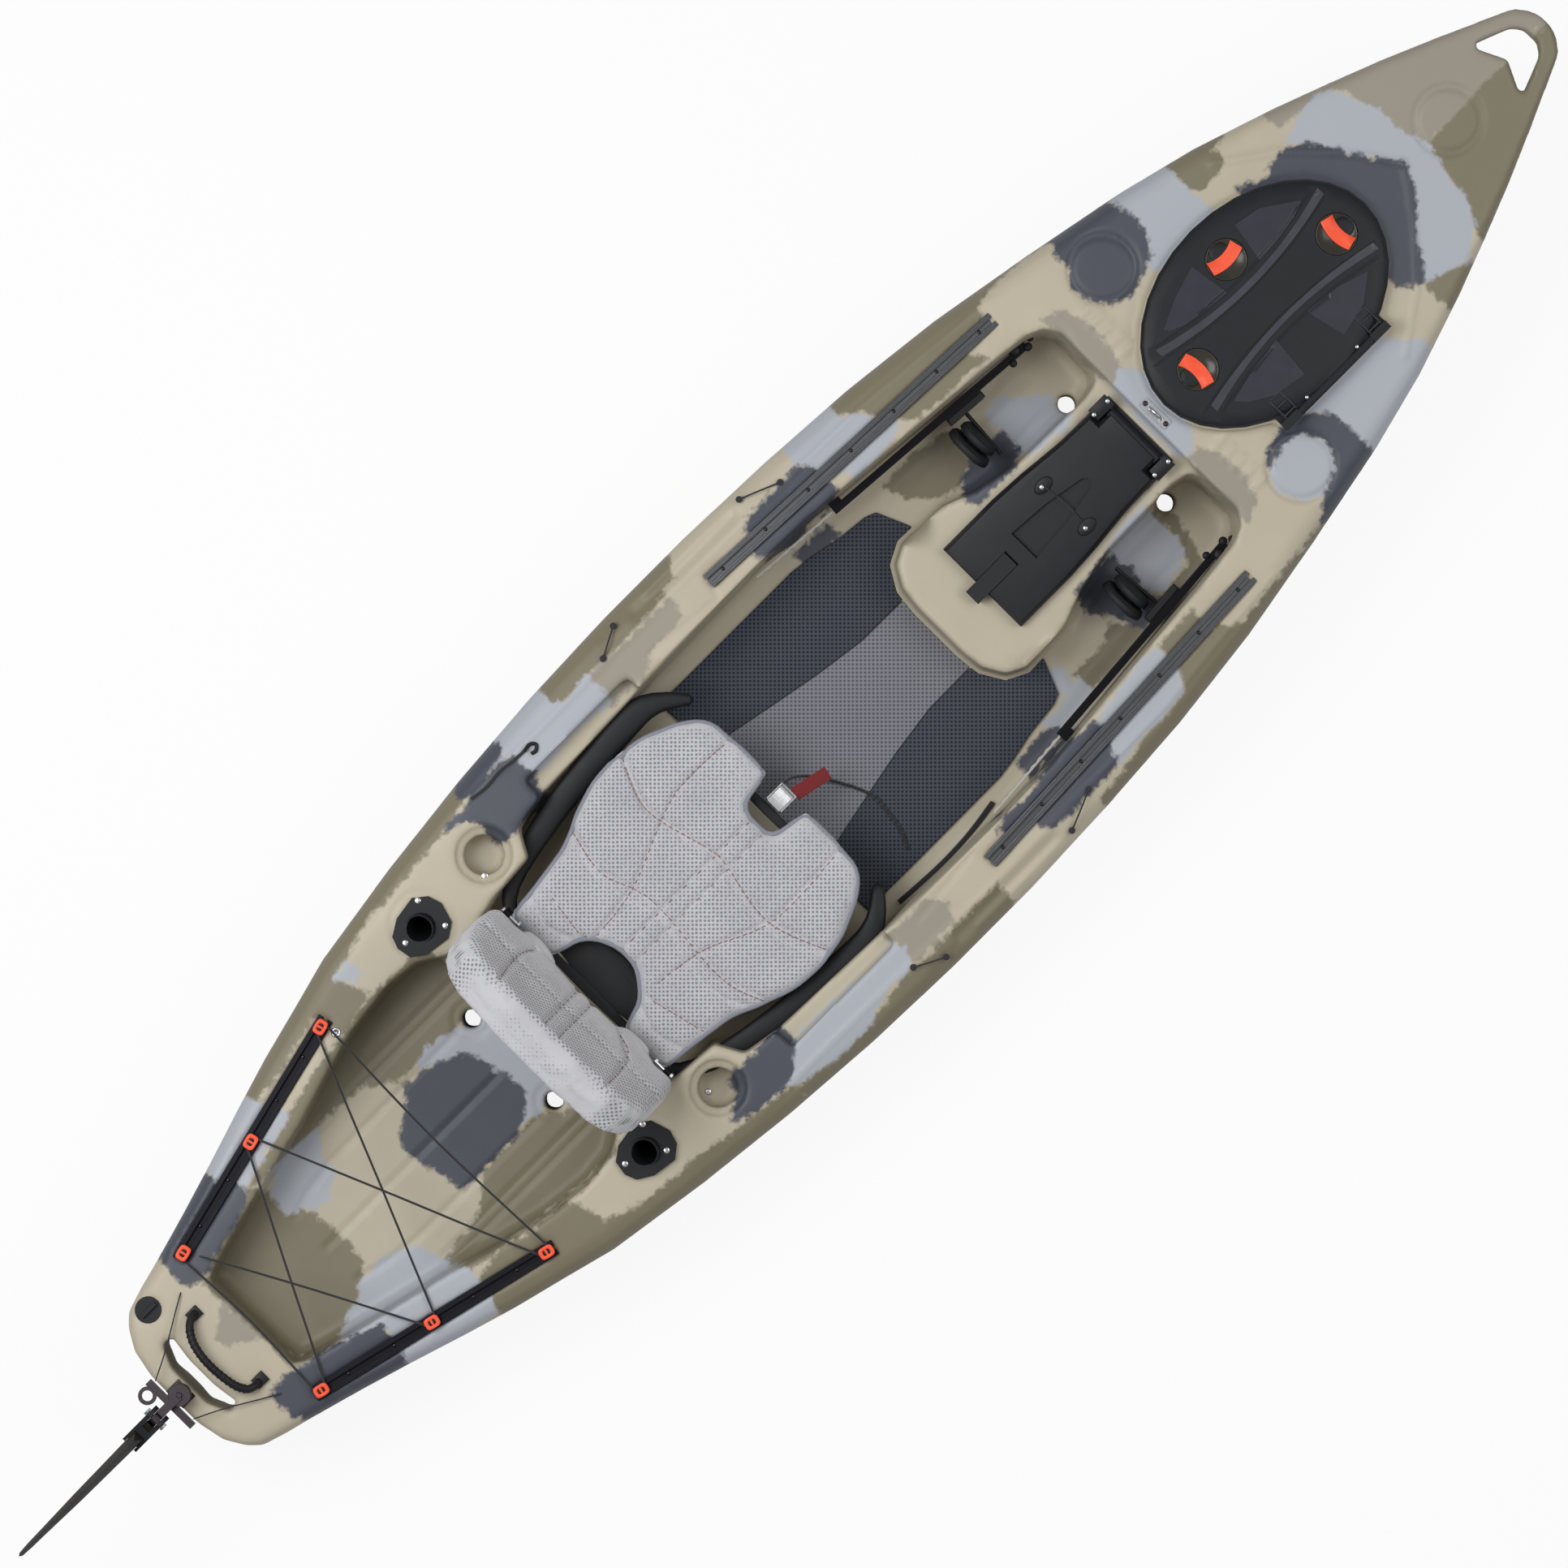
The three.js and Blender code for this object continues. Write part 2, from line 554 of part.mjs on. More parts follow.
function hullHoles() {
  const holes = [openAbove(hatchOval(-hatchRingWidth), deckHeight - overrun)];
  for (const [, side] of sides) {
    for (const [x, y] of scuppers) holes.push(through(circleOutline(x, side * y, scupperRadius), 0));
    const bore = holderSleeve(holderBore + holderWall + gap, -holderDepth, overrun);
    holes.push(
      solid(placedCopy(bore, holderPlace(side))),
      uprightRod(cableHoleX, side * cableHoleY, tankFloor, mouthHeight, cableHoleRadius, 8),
      solid(rod(vec(cableExitX, side * cableExitInner, railZ), vec(cableExitX, side * cableExitOuter, railZ), cableHoleRadius, 8)),
    );
  }
  holes.push(
    openAbove(circleOutline(drainX, drainY, drainFlange + 2 * gap), drainSeat),
    openAbove(circleOutline(drainX, drainY, drainStem + gap), drainSeat - overrun),
    uprightRod(pintleX, 0, deckAt(pintleX) - pintleDepth, mouthHeight, pintleRadius + gap),
    solid(rod(vec(wheelX, -axleHalf - gap, wheelHeight), vec(wheelX, axleHalf + gap, wheelHeight), axleRadius + gap)),
  );
  return joined(...holes);
}

function buildHull() {
  const raised = joined(prism(hatchOval(hatchSeatMargin), deckHeight, hatchSeatHeight),
    prism(hingeOutline(hatchSeatMargin), deckHeight, hatchSeatHeight));
  const slotOutline = scaledOutline(slotShares);
  const loopOutline = toOutline(loopShares.map(scaled));
  const outer = hullLoft(0, -halfLength, halfLength).add(raised)
    .subtract(hullRecesses(0)).subtract(through(slotOutline, 0)).subtract(through(loopOutline, 0));
  const bosses = [
    through(slotOutline, hullWall),
    uprightRod(pintleX, 0, deckAt(pintleX) - pintleDepth - hullWall, mouthHeight, pintleRadius + hullWall),
    openAbove(circleOutline(drainX, drainY, drainFlange + hullWall, 10), drainSeat - hullWall),
  ];
  for (const [, side] of sides) {
    for (const [x, y] of scuppers) bosses.push(through(circleOutline(x, side * y, scupperRadius + hullWall, 10), 0));
  }
  const hollowEnd = loopShares[0][0] * halfLength - overrun;
  const hollow = hullLoft(hullWall, -halfLength + hullWall, hollowEnd, 2).subtract(hullRecesses(hullWall)).subtract(joined(...bosses));
  return outer.subtract(hollow).subtract(hullHoles());
}
addPart('hull', buildHull(), 'hullPlastic');

// Keel wheel: solid plastic, dished on both faces
const hubShare = 0.35;
const wheelDishShares = [[hubShare, 0], [0.42, 1], [0.75, 1], [0.82, 0], [0.95, 0]];
const wheelSide = wheelDishShares.map(([radius, depth]) => new THREE.Vector2(
  radius * wheelRadius, depth * wheelClearance - wheelWidth / 2,
));
const wheelHalf = [new THREE.Vector2(axleRadius + gap, -wheelWidth / 2), ...wheelSide, new THREE.Vector2(wheelRadius, -wheelWidth / 4)];
const wheelLoop = [...wheelHalf, ...wheelHalf.slice().reverse().map((p) => new THREE.Vector2(p.x, -p.y)), wheelHalf[0].clone()];
addPart('keel_wheel', new THREE.LatheGeometry(wheelLoop, 18), 'blackPlastic',
  (mesh) => mesh.position.set(wheelX, 0, wheelHeight));
addPart('wheel_axle', rod(vec(wheelX, -axleHalf, wheelHeight), vec(wheelX, axleHalf, wheelHeight), axleRadius), 'stainless');

// Hatch ring: a flange on the seat, a collar down into the bow and the hinge's base and ears
const ringThickness = 6;
const ringBase = hatchSeatHeight + gap;
const ringTop = ringBase + ringThickness;
const collarWall = 3.5;
const collarDepth = 38; // below the seat
const collarLow = hatchSeatHeight - collarDepth;
const hingeInset = 9; // from the base's outer edge to the rod
const hingeY = hingeInset - hingeSide;
const knuckleRadius = 7.5;
const knuckleLength = 40;
const hingeRise = 1; // between the ring and the lid's knuckle
const hingeZ = ringTop + knuckleRadius + hingeRise;
const hingeRodRadius = 3;
const hingeRod = (radius, margin) => rod(
  vec(hingeRear - margin, hingeY, hingeZ), vec(hingeFront + margin, hingeY, hingeZ), radius, 8,
);
const hingeEars = [[hingeRear, hingeRear + knuckleLength - gap], [hingeFront - knuckleLength + gap, hingeFront]]
  .map((xs) => slab(xs, [-hingeSide, hingeY + knuckleRadius], [ringBase, hingeZ + knuckleRadius]));
const ringBody = joined(
  prism(hatchOval(0), ringBase, ringTop),
  prism(hingeOutline(0), ringBase, ringTop),
  prism(hatchOval(-hatchRingWidth - gap), collarLow, ringTop),
  ...hingeEars,
);
const ringOpening = prism(hatchOval(-hatchRingWidth - collarWall), collarLow - overrun, mouthHeight);
addPart('hatch_ring', without(ringBody, ringOpening, hingeRod(hingeRodRadius + gap, overrun)), 'blackPlastic');
addPart('hatch_hinge_rod', hingeRod(hingeRodRadius, -gap), 'stainless');

// Hatch lid: a low outer band and a raised middle crossed by bowed grooves
const lidThickness = 15;
const lidMargin = 5;
const lidBandWidth = 24;
const lidBase = ringTop + gap;
const lidTop = lidBase + lidThickness;
const lidSteps = [[0, 0], [0, 0.6], [5, 0.8], [lidBandWidth, 1]];
const lidHinge = [hingeRear + knuckleLength + gap, hingeFront - knuckleLength - gap];
const lidWeb = 6;
const lidBlank = joined(
  loft(lidSteps.map(([inset, rise]) => ringAt(hatchOval(-lidMargin - inset), lidBase + rise * lidThickness)), flattenPlan),
  rod(vec(lidHinge[0], hingeY, hingeZ), vec(lidHinge[1], hingeY, hingeZ), knuckleRadius - gap, 10),
  slab(lidHinge, [hingeY, hingeY + hatchRingWidth], [lidBase + gap, lidBase + gap + lidWeb]),
);
const grooveWidth = 5;
const grooveDepth = 2.5;
const grooveSpacingShare = 0.14;
const grooveShares = [[-0.86, 0.33], [-0.43, 0.22], [0, 0.19], [0.43, 0.22], [0.86, 0.33]];
const lidGrooves = sides.flatMap(([, side]) => [0, grooveSpacingShare].map((offset) => {
  const edge = (shift) => grooveShares.map(([x, y]) => [
    hatchX + (x * hatchLength) / 2, (side * (y + offset) * hatchWidth) / 2 + shift,
  ]);
  return prism(toOutline([...edge(grooveWidth / 2), ...edge(-grooveWidth / 2).reverse()]), lidTop - grooveDepth, mouthHeight);
}));
// Three latches: a disc in a recess, a stem through the lid and an arm that turns under the collar
const latchRadius = 38;
const latchRecess = 7;
const latchRise = 5;
const latchEdge = 1;
const latchStem = 8;
const latchArm = 48;
const latchArmWidth = 14;
const latchArmThickness = 5;
const latchGripWidth = 12;
const latchGripHeight = 5;
const latchShares = [['hatch_latch_aft', -0.66, 0.01], ['hatch_latch_port', 0.027, 0.562], ['hatch_latch_fore', 0.7, -0.016]];
const latchPlaces = latchShares.map(([name, x, y]) => [name, (x * hatchLength) / 2, (y * hatchWidth) / 2]);
const latchHoles = latchPlaces.flatMap(([, x, y]) => [
  prism(circleOutline(hatchX + x, y, latchRadius + latchEdge, 20), lidTop - latchRecess, mouthHeight),
  prism(circleOutline(hatchX + x, y, latchStem + 2 * gap, 20), lidBase - overrun, mouthHeight),
]);
addPart('hatch_lid', without(lidBlank, ...lidGrooves, ...latchHoles, hingeRod(hingeRodRadius + gap, overrun)), 'blackPlastic');
const latchBase = lidTop - latchRecess + gap;
const latchTop = latchBase + latchRise;
const armTop = collarLow - gap;
const armLow = armTop - latchArmThickness;
for (const [name, x, y] of latchPlaces) {
  const disc = turned([
    [0, armLow], [latchStem, armLow], [latchStem, latchBase], [latchRadius, latchBase],
    [latchRadius, latchTop - latchEdge], [latchRadius - latchEdge, latchTop], [0, latchTop],
  ], 20);
  const gripHalf = latchRadius - latchGripWidth / 2;
  const gripZ = [latchTop - latchEdge, latchTop + latchGripHeight];
  const grip = slab([-gripHalf, gripHalf], [-latchGripWidth / 2, latchGripWidth / 2], gripZ);
  const arm = slab([-latchArm, 0], [-latchArmWidth / 2, latchArmWidth / 2], [armLow, armTop]);
  addPart(name, joined(disc, grip, arm), 'orangePlastic', (mesh) => {
    mesh.position.set(hatchX + x, y, 0);
    mesh.rotation.z = Math.atan2(y, x) + Math.PI / 2;
  });
}

// Instrument pod in the console, drawn level and then tilted with the console's slope
const onConsole = (object) => {
  object.position.set(consoleRear + consoleLevel, 0, consoleHeight);
  object.rotation.y = -consoleSlope;
};
const podWall = 3;
const podFlange = 4;
const podFlangeMargin = 4;
const podAxisInset = 9; // behind the pod's front wall
const podAxisX = (podFront - consoleRear - consoleLevel) / Math.cos(consoleSlope) - podAxisInset;
const podLidHalf = 100;
const podLidShares = [
  [0.005, 1], [0.328, 1], [0.505, 0.96], [0.732, 0.87], [0.939, 0.84], [0.939, 0.62], [1.073, 0.62],
];
const podPlateShares = [[0.015, 0.96], [0.328, 0.96], [0.505, 0.92], [0.732, 0.83], [1.045, 0.83]];
const podPoint = ([along, across]) => [along * podAxisX, across * podLidHalf];
const podLidOutline = toOutline(mirrored(podLidShares.map(podPoint)));
const podPlateOutline = toOutline(mirrored(podPlateShares.map(podPoint)));
const podLidBase = podFlange + gap;
const podBarrel = 10.5;
const podAxisZ = podLidBase + podBarrel + gap;
const podPinRadius = 3;
const podEarWidth = 16;
const podEarHalf = 11;
const podBarrelHalf = 61;
const acrossPod = (x, z, radius, reach) => rod(vec(x, -reach, z), vec(x, reach, z), radius, 10);
const tubFill = (inset, floor) => prism(podOutline(-inset), floor, mouthHeight);
const tilted = (geometry) => solid(placedCopy(geometry, onConsole));
const aboveConsole = tilted(slab([-hullLength, hullLength], [-hullBeam, hullBeam], [podFlange, hullLength]));
const plateFeet = tilted(slab([-hullLength, hullLength], [-hullBeam, hullBeam], [gap, hullLength]));
let podTub = solid(tubFill(2 * gap, podFloor + gap)).subtract(aboveConsole)
  .add(tilted(prism(podPlateOutline, -podFlange, podFlange)).intersect(plateFeet));
for (const [, side] of sides) {
  const ys = [side * (podBarrelHalf + gap), side * (podBarrelHalf + gap + podEarWidth)];
  const ear = slab([podAxisX - podEarHalf, podAxisX + podEarHalf], ys, [podFlange - gap, podAxisZ + podEarHalf]);
  podTub = podTub.add(tilted(ear));
}
podTub = podTub.subtract(solid(tubFill(podWall + 2 * gap, podFloor + podWall)));
for (const [, side] of sides) {
  const stubEnds = [podBarrelHalf + podEarWidth / 2, podBarrelHalf - podEarWidth];
  const stub = rod(...stubEnds.map((y) => vec(podAxisX, side * y, podAxisZ)), podPinRadius, 8);
  podTub = podTub.add(tilted(stub));
}
addPart('pod_tub', podTub, 'blackPlastic');

const podLidHeight = 27;
const podLidTop = podLidBase + podLidHeight;
const podLidSteps = [[0, 0], [2, 0.6], [8, 0.92], [22, 1]];
const podLidShell = (inset, drop) => solid(loft(podLidSteps.map(([lean, rise], i) => ringAt(
  offsetOutline(podLidOutline, -lean - inset), podLidBase + rise * podLidHeight - (i === 0 && drop > 0 ? overrun : drop),
)), flattenPlan));
const scoopShares = [[0.29, 0.32], [0.5, 0.26], [0.7, 0.12], [0.72, 0.05]];
const scoop = toOutline(mirrored(scoopShares.map(podPoint)));
const scoopDepth = 9;
const podLatchHalf = 16;
const podLatchLength = 84;
const podLatchDepth = 10;
const channelRoom = 1; // on each side of the strap
const channelFloor = podLidTop - podLatchDepth;
const channelOutline = (grow) => toOutline([
  [-overrun, -podLatchHalf - grow], [podLatchLength + grow, -podLatchHalf - grow],
  [podLatchLength + grow, podLatchHalf + grow], [-overrun, podLatchHalf + grow],
]);
const strapPinRadius = 2;
const strapPinInset = 7;
const strapPinX = podLatchLength - strapPinInset;
const strapPinZ = podLidTop - podLatchDepth / 3;
const strapPin = (radius, margin) => acrossPod(strapPinX, strapPinZ, radius, podLatchHalf + podWall + margin);
const podSkin = podLidShell(0, 0);
const hollows = joined(prism(offsetOutline(scoop, podWall), podLidTop - scoopDepth - podWall, mouthHeight),
  prism(channelOutline(podWall + channelRoom), channelFloor - podWall, mouthHeight)).intersect(podSkin);
const barrelTrim = solid(slab([podAxisX, hullLength], [-hullBeam, hullBeam], [0, mouthHeight]));
const podLid = podSkin.subtract(podLidShell(podWall, podWall)).add(hollows)
  .subtract(solid(prism(scoop, podLidTop - scoopDepth, mouthHeight)))
  .subtract(solid(prism(channelOutline(channelRoom), channelFloor, mouthHeight)))
  .subtract(barrelTrim)
  .add(solid(acrossPod(podAxisX, podAxisZ, podBarrel, podBarrelHalf)))
  .subtract(solid(acrossPod(podAxisX, podAxisZ, podPinRadius + gap, podBarrelHalf + overrun)))
  .subtract(solid(strapPin(strapPinRadius + gap, podWall)));
addPart('pod_lid', podLid, 'blackPlastic', onConsole);

// Latch strap that lies in the lid's channel and hooks down over its rear edge
const strapHook = 20;
const strapThickness = 6;
const strapLow = podLidTop - strapThickness;
const strapEnd = strapPinX + 2 * strapPinRadius;
const strapProfile = [
  [strapEnd, strapLow], [strapEnd, podLidTop], [-strapHook, podLidTop], [-strapHook, podFlange * 2],
  [strapThickness - strapHook, podFlange * 2], [strapThickness - strapHook, strapLow],
];
const strap = acrossProfile(strapProfile, -podLatchHalf, podLatchHalf);
addPart('pod_latch', joined(strap, strapPin(strapPinRadius, 0)), 'blackPlastic', onConsole);

// Stainless eye on the foredeck
const eyeX = consoleFront + 18;
const eyeWidth = 62;
const eyeLength = 20;
const eyePlate = 2.5;
const eyeRod = 3;
const eyeRise = 14;
const eyeHalf = 14;
const eyeBase = Math.max(deckTop(eyeX - eyeLength / 2, 0), deckTop(eyeX + eyeLength / 2, 0)) + gap;
const eyeShares = [[-1, 0.1], [-0.95, 0.7], [-0.45, 1], [0.45, 1], [0.95, 0.7], [1, 0.1]];
const eyeBow = eyeShares.map(([y, z]) => vec(eyeX, y * eyeHalf, eyeBase + z * eyeRise));
const eyeFoot = block(eyeLength, eyeWidth, eyePlate, eyeX, 0, eyeBase + eyePlate / 2);
addPart('deck_eye', joined(eyeFoot, tubeAlong(eyeBow, eyeRod, 2, 8)), 'stainless');

// Gear tracks: a slotted extrusion in each bed
const slotMouth = 9;
const slotWidth = 18;
const slotLip = 3;
const slotHeight = 9;
function trackGeometry(track) {
  const half = [
    [trackWidth / 2, 0], [trackWidth / 2, trackHeight], [slotMouth / 2, trackHeight],
    [slotMouth / 2, trackHeight - slotLip], [slotWidth / 2, trackHeight - slotLip], [slotWidth / 2, trackHeight - slotHeight],
  ];
  return alongProfile([...half, ...half.slice().reverse().map(([y, z]) => [-y, z])], 0, trackLength(track));
}
for (const [name, side] of sides) {
  addPart(`front_track_${name}`, trackGeometry(frontTrack), 'blackAlloy', trackPlace(frontTrack, side));
  addPart(`rear_track_${name}`, trackGeometry(rearTrack), 'blackAlloy', trackPlace(rearTrack, side));
}

// Clips in the rear tracks, each with a post between its base and cap for the cord to bend round
const clipLength = 24;
const clipWidth = 22;
const clipBase = 4;
const clipPost = 5; // half width
const clipCap = 4;
const clipEye = 3;
const clipSlack = 1;
const cordRadius = 2.5;
const cordRoom = 6;
const clipShares = [0.03, 0.49, 0.965];
const clipNames = ['aft', 'middle', 'front'];
const clipFloor = trackHeight + gap;
const clipCordZ = clipFloor + clipBase + cordRoom / 2;
const capLow = clipFloor + clipBase + cordRoom;
function clipShape() {
  const box = (length, width, low, high) => slab([-length / 2, length / 2], [-width / 2, width / 2], [low, high]);
  const footTop = trackHeight - slotLip - gap;
  return without(joined(
    box(clipWidth, slotWidth - clipSlack, trackHeight - slotHeight + clipSlack, footTop),
    box(clipWidth, slotMouth - clipSlack, footTop - clipSlack, clipFloor + clipSlack),
    box(clipLength, clipWidth, clipFloor, clipFloor + clipBase),
    box(2 * clipPost, 2 * clipPost, clipFloor + clipSlack, capLow + clipSlack),
    box(clipLength, clipWidth, capLow, capLow + clipCap),
  ), rod(vec(0, 0, capLow + clipCap / 2), vec(0, 0, capLow + overrun), clipEye, 8));
}
for (const [name, side] of sides) {
  clipShares.forEach((share, i) => {
    addPart(`tie_clip_${name}_${clipNames[i]}`, clipShape(), 'orangePlastic', trackPlace(rearTrack, side, 0, share));
  });
}

// Elastic cord laced round the six posts in this order, and knotted at the first
const lacing = [[1, 0], [-1, 0], [1, 1], [-1, 2], [1, 2], [-1, 1]];
const posts = lacing.map(([side, clip]) => {
  const carrier = new THREE.Object3D();
  trackPlace(rearTrack, side, 0, clipShares[clip])(carrier);
  return carrier.translateZ(clipCordZ).position;
});
const bendRadius = clipPost * Math.SQRT2 + cordRadius + gap;
const bendShares = [0.5, 0.25, 0, -0.25, -0.5];
const cordRoute = posts.flatMap((post, i) => {
  const before = posts[(i + posts.length - 1) % posts.length];
  const after = posts[(i + 1) % posts.length];
  const outward = post.clone().sub(before).normalize().add(post.clone().sub(after).normalize()).setZ(0).normalize();
  const across = vec(-outward.y, outward.x, 0);
  if (across.dot(before.clone().sub(post)) < 0) across.negate();
  const bend = bendShares.map((share) => post.clone()
    .addScaledVector(outward, bendRadius * Math.cos(share * Math.PI))
    .addScaledVector(across, bendRadius * Math.sin(share * Math.PI)));
  const crossing = before.clone().add(post).multiplyScalar(0.5);
  crossing.z += (i % 2 === 0 ? 1 : -1) * (cordRadius + gap);
  return i > 0 ? [crossing, ...bend] : bend;
});
const lastCrossing = posts[0].clone().add(posts[posts.length - 1]).multiplyScalar(0.5);
lastCrossing.z += cordRadius + gap;
const knot = cordRoute[0].clone().add(vec(2 * cordRadius + gap, -clipLength, 0));
addPart('tank_cord', tubeAlong([...cordRoute, lastCrossing, knot], cordRadius, 2, 6), 'blackCord');

// Rod holders: a drop-shaped flange and a closed tube
const flangeShares = [
  [1, 0.1], [0.86, 0.62], [0.45, 1], [-0.35, 0.86], [-0.86, 0.5], [-1, 0.05], [-0.92, -0.5], [-0.5, -0.86], [0.35, -1], [0.8, -0.66],
];
for (const [name, side] of sides) {
  const flange = toOutline(flangeShares.map(([x, y]) => [holderX + x * holderHalfLength, side * (holderY + y * holderHalfWidth)]));
  const tube = holderSleeve(holderBore + holderWall, gap - holderDepth, 2 * holderFlange);
  const bore = holderSleeve(holderBore, gap + holderWall - holderDepth, overrun);
  const body = joined(prism(flange, holderTop, holderTop + holderFlange), placedCopy(tube, holderPlace(side)));
  addPart(`rod_holder_${name}`, without(body, placedCopy(bore, holderPlace(side))), 'blackPlastic');
}

// Stern: carry handle and drain plug
const handleX = sternEnd + 134;
const handleHalfSpan = 82;
const handleReach = 46;
const handleRise = 36;
const handleWidth = 18;
const handleThickness = 11;
const handleFoot = 28;
const handleDeck = deckTop(handleX + handleFoot / 2, handleHalfSpan - handleFoot / 2) + gap;
const handleShares = [[0, 1, 0.1], [0.45, 0.8, 0.5], [0.85, 0.42, 0.92], [1, 0, 1]];
const handleHalf = handleShares.map(([x, y, z]) => vec(
  handleX - x * handleReach, y * handleHalfSpan, handleDeck + handleThickness / 2 + z * handleRise,
));
const handleLine = [...handleHalf, ...handleHalf.slice(0, -1).reverse().map((p) => vec(p.x, -p.y, p.z))];
const handleFeet = sides.map(([, side]) => block(
  handleFoot, handleFoot, handleThickness, handleX, side * handleHalfSpan, handleDeck + handleThickness / 2,
));
addPart('stern_handle', joined(barAlong(handleLine, handleWidth, handleThickness), ...handleFeet), 'blackPlastic');

const drainBase = drainSeat + gap;
const drainHead = 5;
const drainStemLength = 24;
const drainGrip = [36, 8, 9];
const drainBody = turned([
  [0, -drainStemLength], [drainStem, -drainStemLength], [drainStem, 0], [drainFlange, 0],
  [drainFlange, drainHead - latchEdge], [drainFlange - latchEdge, drainHead], [0, drainHead],
], 20);
addPart('drain_plug', joined(drainBody, block(...drainGrip, 0, 0, drainHead + drainGrip[2] / 2 - latchEdge)), 'blackPlastic',
  (mesh) => mesh.position.set(drainX, drainY, drainBase));

// Rudder: bracket and pintle on the stern, a head that turns on it, a blade that lifts on the head
const bracketLength = 32;
const bracketWidth = 44;
const bracketPlate = 4;
const bossRadius = 16;
const bossHeight = 14;
const headHeight = 27;
const headRadius = 21;
const deckStern = deckAt(pintleX) + gap;
const bossTop = deckStern + bracketPlate + bossHeight;
const headLow = bossTop + gap;
const headTop = headLow + headHeight;
addPart('rudder_bracket', joined(
  block(bracketLength, bracketWidth, bracketPlate, pintleX, 0, deckStern + bracketPlate / 2),
  turned([[0, deckStern], [bossRadius, deckStern], [bossRadius, bossTop], [0, bossTop]], 16).translate(pintleX, 0, 0),
  rod(vec(pintleX, 0, deckStern - pintleDepth), vec(pintleX, 0, headTop + pintleRadius), pintleRadius, 10),
), 'stainless');

const bladePivotX = pintleX - 61;
const bladePivotDrop = 2; // below the head's top
const bladePivotZ = headTop - bladePivotDrop;
const lugHalf = 8;
const lugRadius = 14;
const boltRadius = 4;
const neckRise = 7; // room under the head's neck for the lowered blade holder
const armX = pintleX - 24;
const armHalf = 57;
const armWidth = 14;
const armRise = 2;
const armBase = headLow + armRise;
const armThickness = 7;
const cableY = 48;
const ringX = pintleX - 43;
const ringY = 40;
const ringRadius = 17;
const ringHole = 10;
const steeringZ = armBase + armThickness / 2;
const pivotRod = (radius, reach, round = 12) => rod(
  vec(bladePivotX, -reach, bladePivotZ), vec(bladePivotX, reach, bladePivotZ), radius, round,
);
const headProfile = [
  [0, headLow], [headRadius, headLow], [headRadius, headTop - latchEdge], [headRadius - latchEdge, headTop], [0, headTop],
];
const rudderHead = joined(
  turned(headProfile, 20).translate(pintleX, 0, 0),
  slab([bladePivotX, pintleX], [-lugHalf, lugHalf], [headLow + neckRise, bladePivotZ + lugRadius / 2]),
  pivotRod(lugRadius, lugHalf, 16),
  slab([armX - armWidth / 2, armX + armWidth / 2], [-armHalf, armHalf], [armBase, armBase + armThickness]),
  prism(circleOutline(ringX, ringY, ringRadius, 18), armBase, armBase + armThickness),
);
addPart('rudder_head', without(rudderHead, pivotRod(boltRadius + gap, overrun),
  prism(circleOutline(ringX, ringY, ringHole, 12), 0, mouthHeight),
  rod(vec(pintleX, 0, 0), vec(pintleX, 0, mouthHeight), pintleRadius + gap, 10)), 'blackPlastic');

// Blade and its holder are drawn straight aft from the bolt, then tilted down
const bladeTilt = degrees(12);
const atPivot = (object) => {
  object.position.set(bladePivotX, 0, bladePivotZ);
  object.rotation.y = -bladeTilt;
};
const bladeStart = 34;
const bladeLength = 318;
const holderCheek = 17;
const holderForkReach = 19;
const holderEnd = 62;
const holderLow = -20;
const holderHigh = 24;
const bladeTable = [[0, 1, 0.85, 1], [0.12, 1, 1, 1], [0.55, 0.92, 0.92, 0.8], [0.92, 0.72, 0.72, 0.5], [1, 0.5, 0.5, 0.36]];
const bladeLeading = -24;
const bladeTrailing = 84;
const bladeMiddle = bladeTrailing * 0.3;
const bladeHalf = 11; // half thickness at the root
const bladeRings = bladeTable.map(([along, low, high, thick]) => {
  const x = -bladeStart - along * bladeLength;
  const chord = [[0, low * bladeLeading], [-1, 0], [-1, bladeMiddle], [0, high * bladeTrailing], [1, bladeMiddle], [1, 0]];
  return chord.map(([y, z]) => vec(x, y * thick * bladeHalf, z));
});
const bladeSolid = solid(loft(bladeRings, flattenSection));
const spread = (p) => vec(p.x + gap, p.y + Math.sign(p.y) * gap, p.z + Math.sign(p.z) * gap);
const holderSolid = without(
  joined(
    slab([-holderEnd, 0], [-holderCheek, holderCheek], [holderLow, holderHigh]),
    rod(vec(0, -holderCheek, 0), vec(0, holderCheek, 0), holderForkReach, 16),
  ),
  slab([-holderForkReach - gap, overrun], [-lugHalf - gap, lugHalf + gap], [-overrun, overrun]),
  rod(vec(0, -overrun, 0), vec(0, overrun, 0), boltRadius + gap, 12),
  loft(bladeRings.map((ring) => ring.map(spread)), flattenSection),
);
addPart('blade_holder', holderSolid, 'blackPlastic', atPivot);
addPart('rudder_blade', bladeSolid, 'blackPlastic', atPivot);
const boltHead = 8;
const boltHeadHeight = 5;
const boltReach = holderCheek + gap;
const boltHeads = sides.map(([, side]) => rod(
  ...[boltReach, boltReach + boltHeadHeight].map((y) => vec(bladePivotX, side * y, bladePivotZ)), boltHead, 6,
));
addPart('rudder_bolt', joined(pivotRod(boltRadius, boltReach + boltHeadHeight), ...boltHeads), 'stainless');

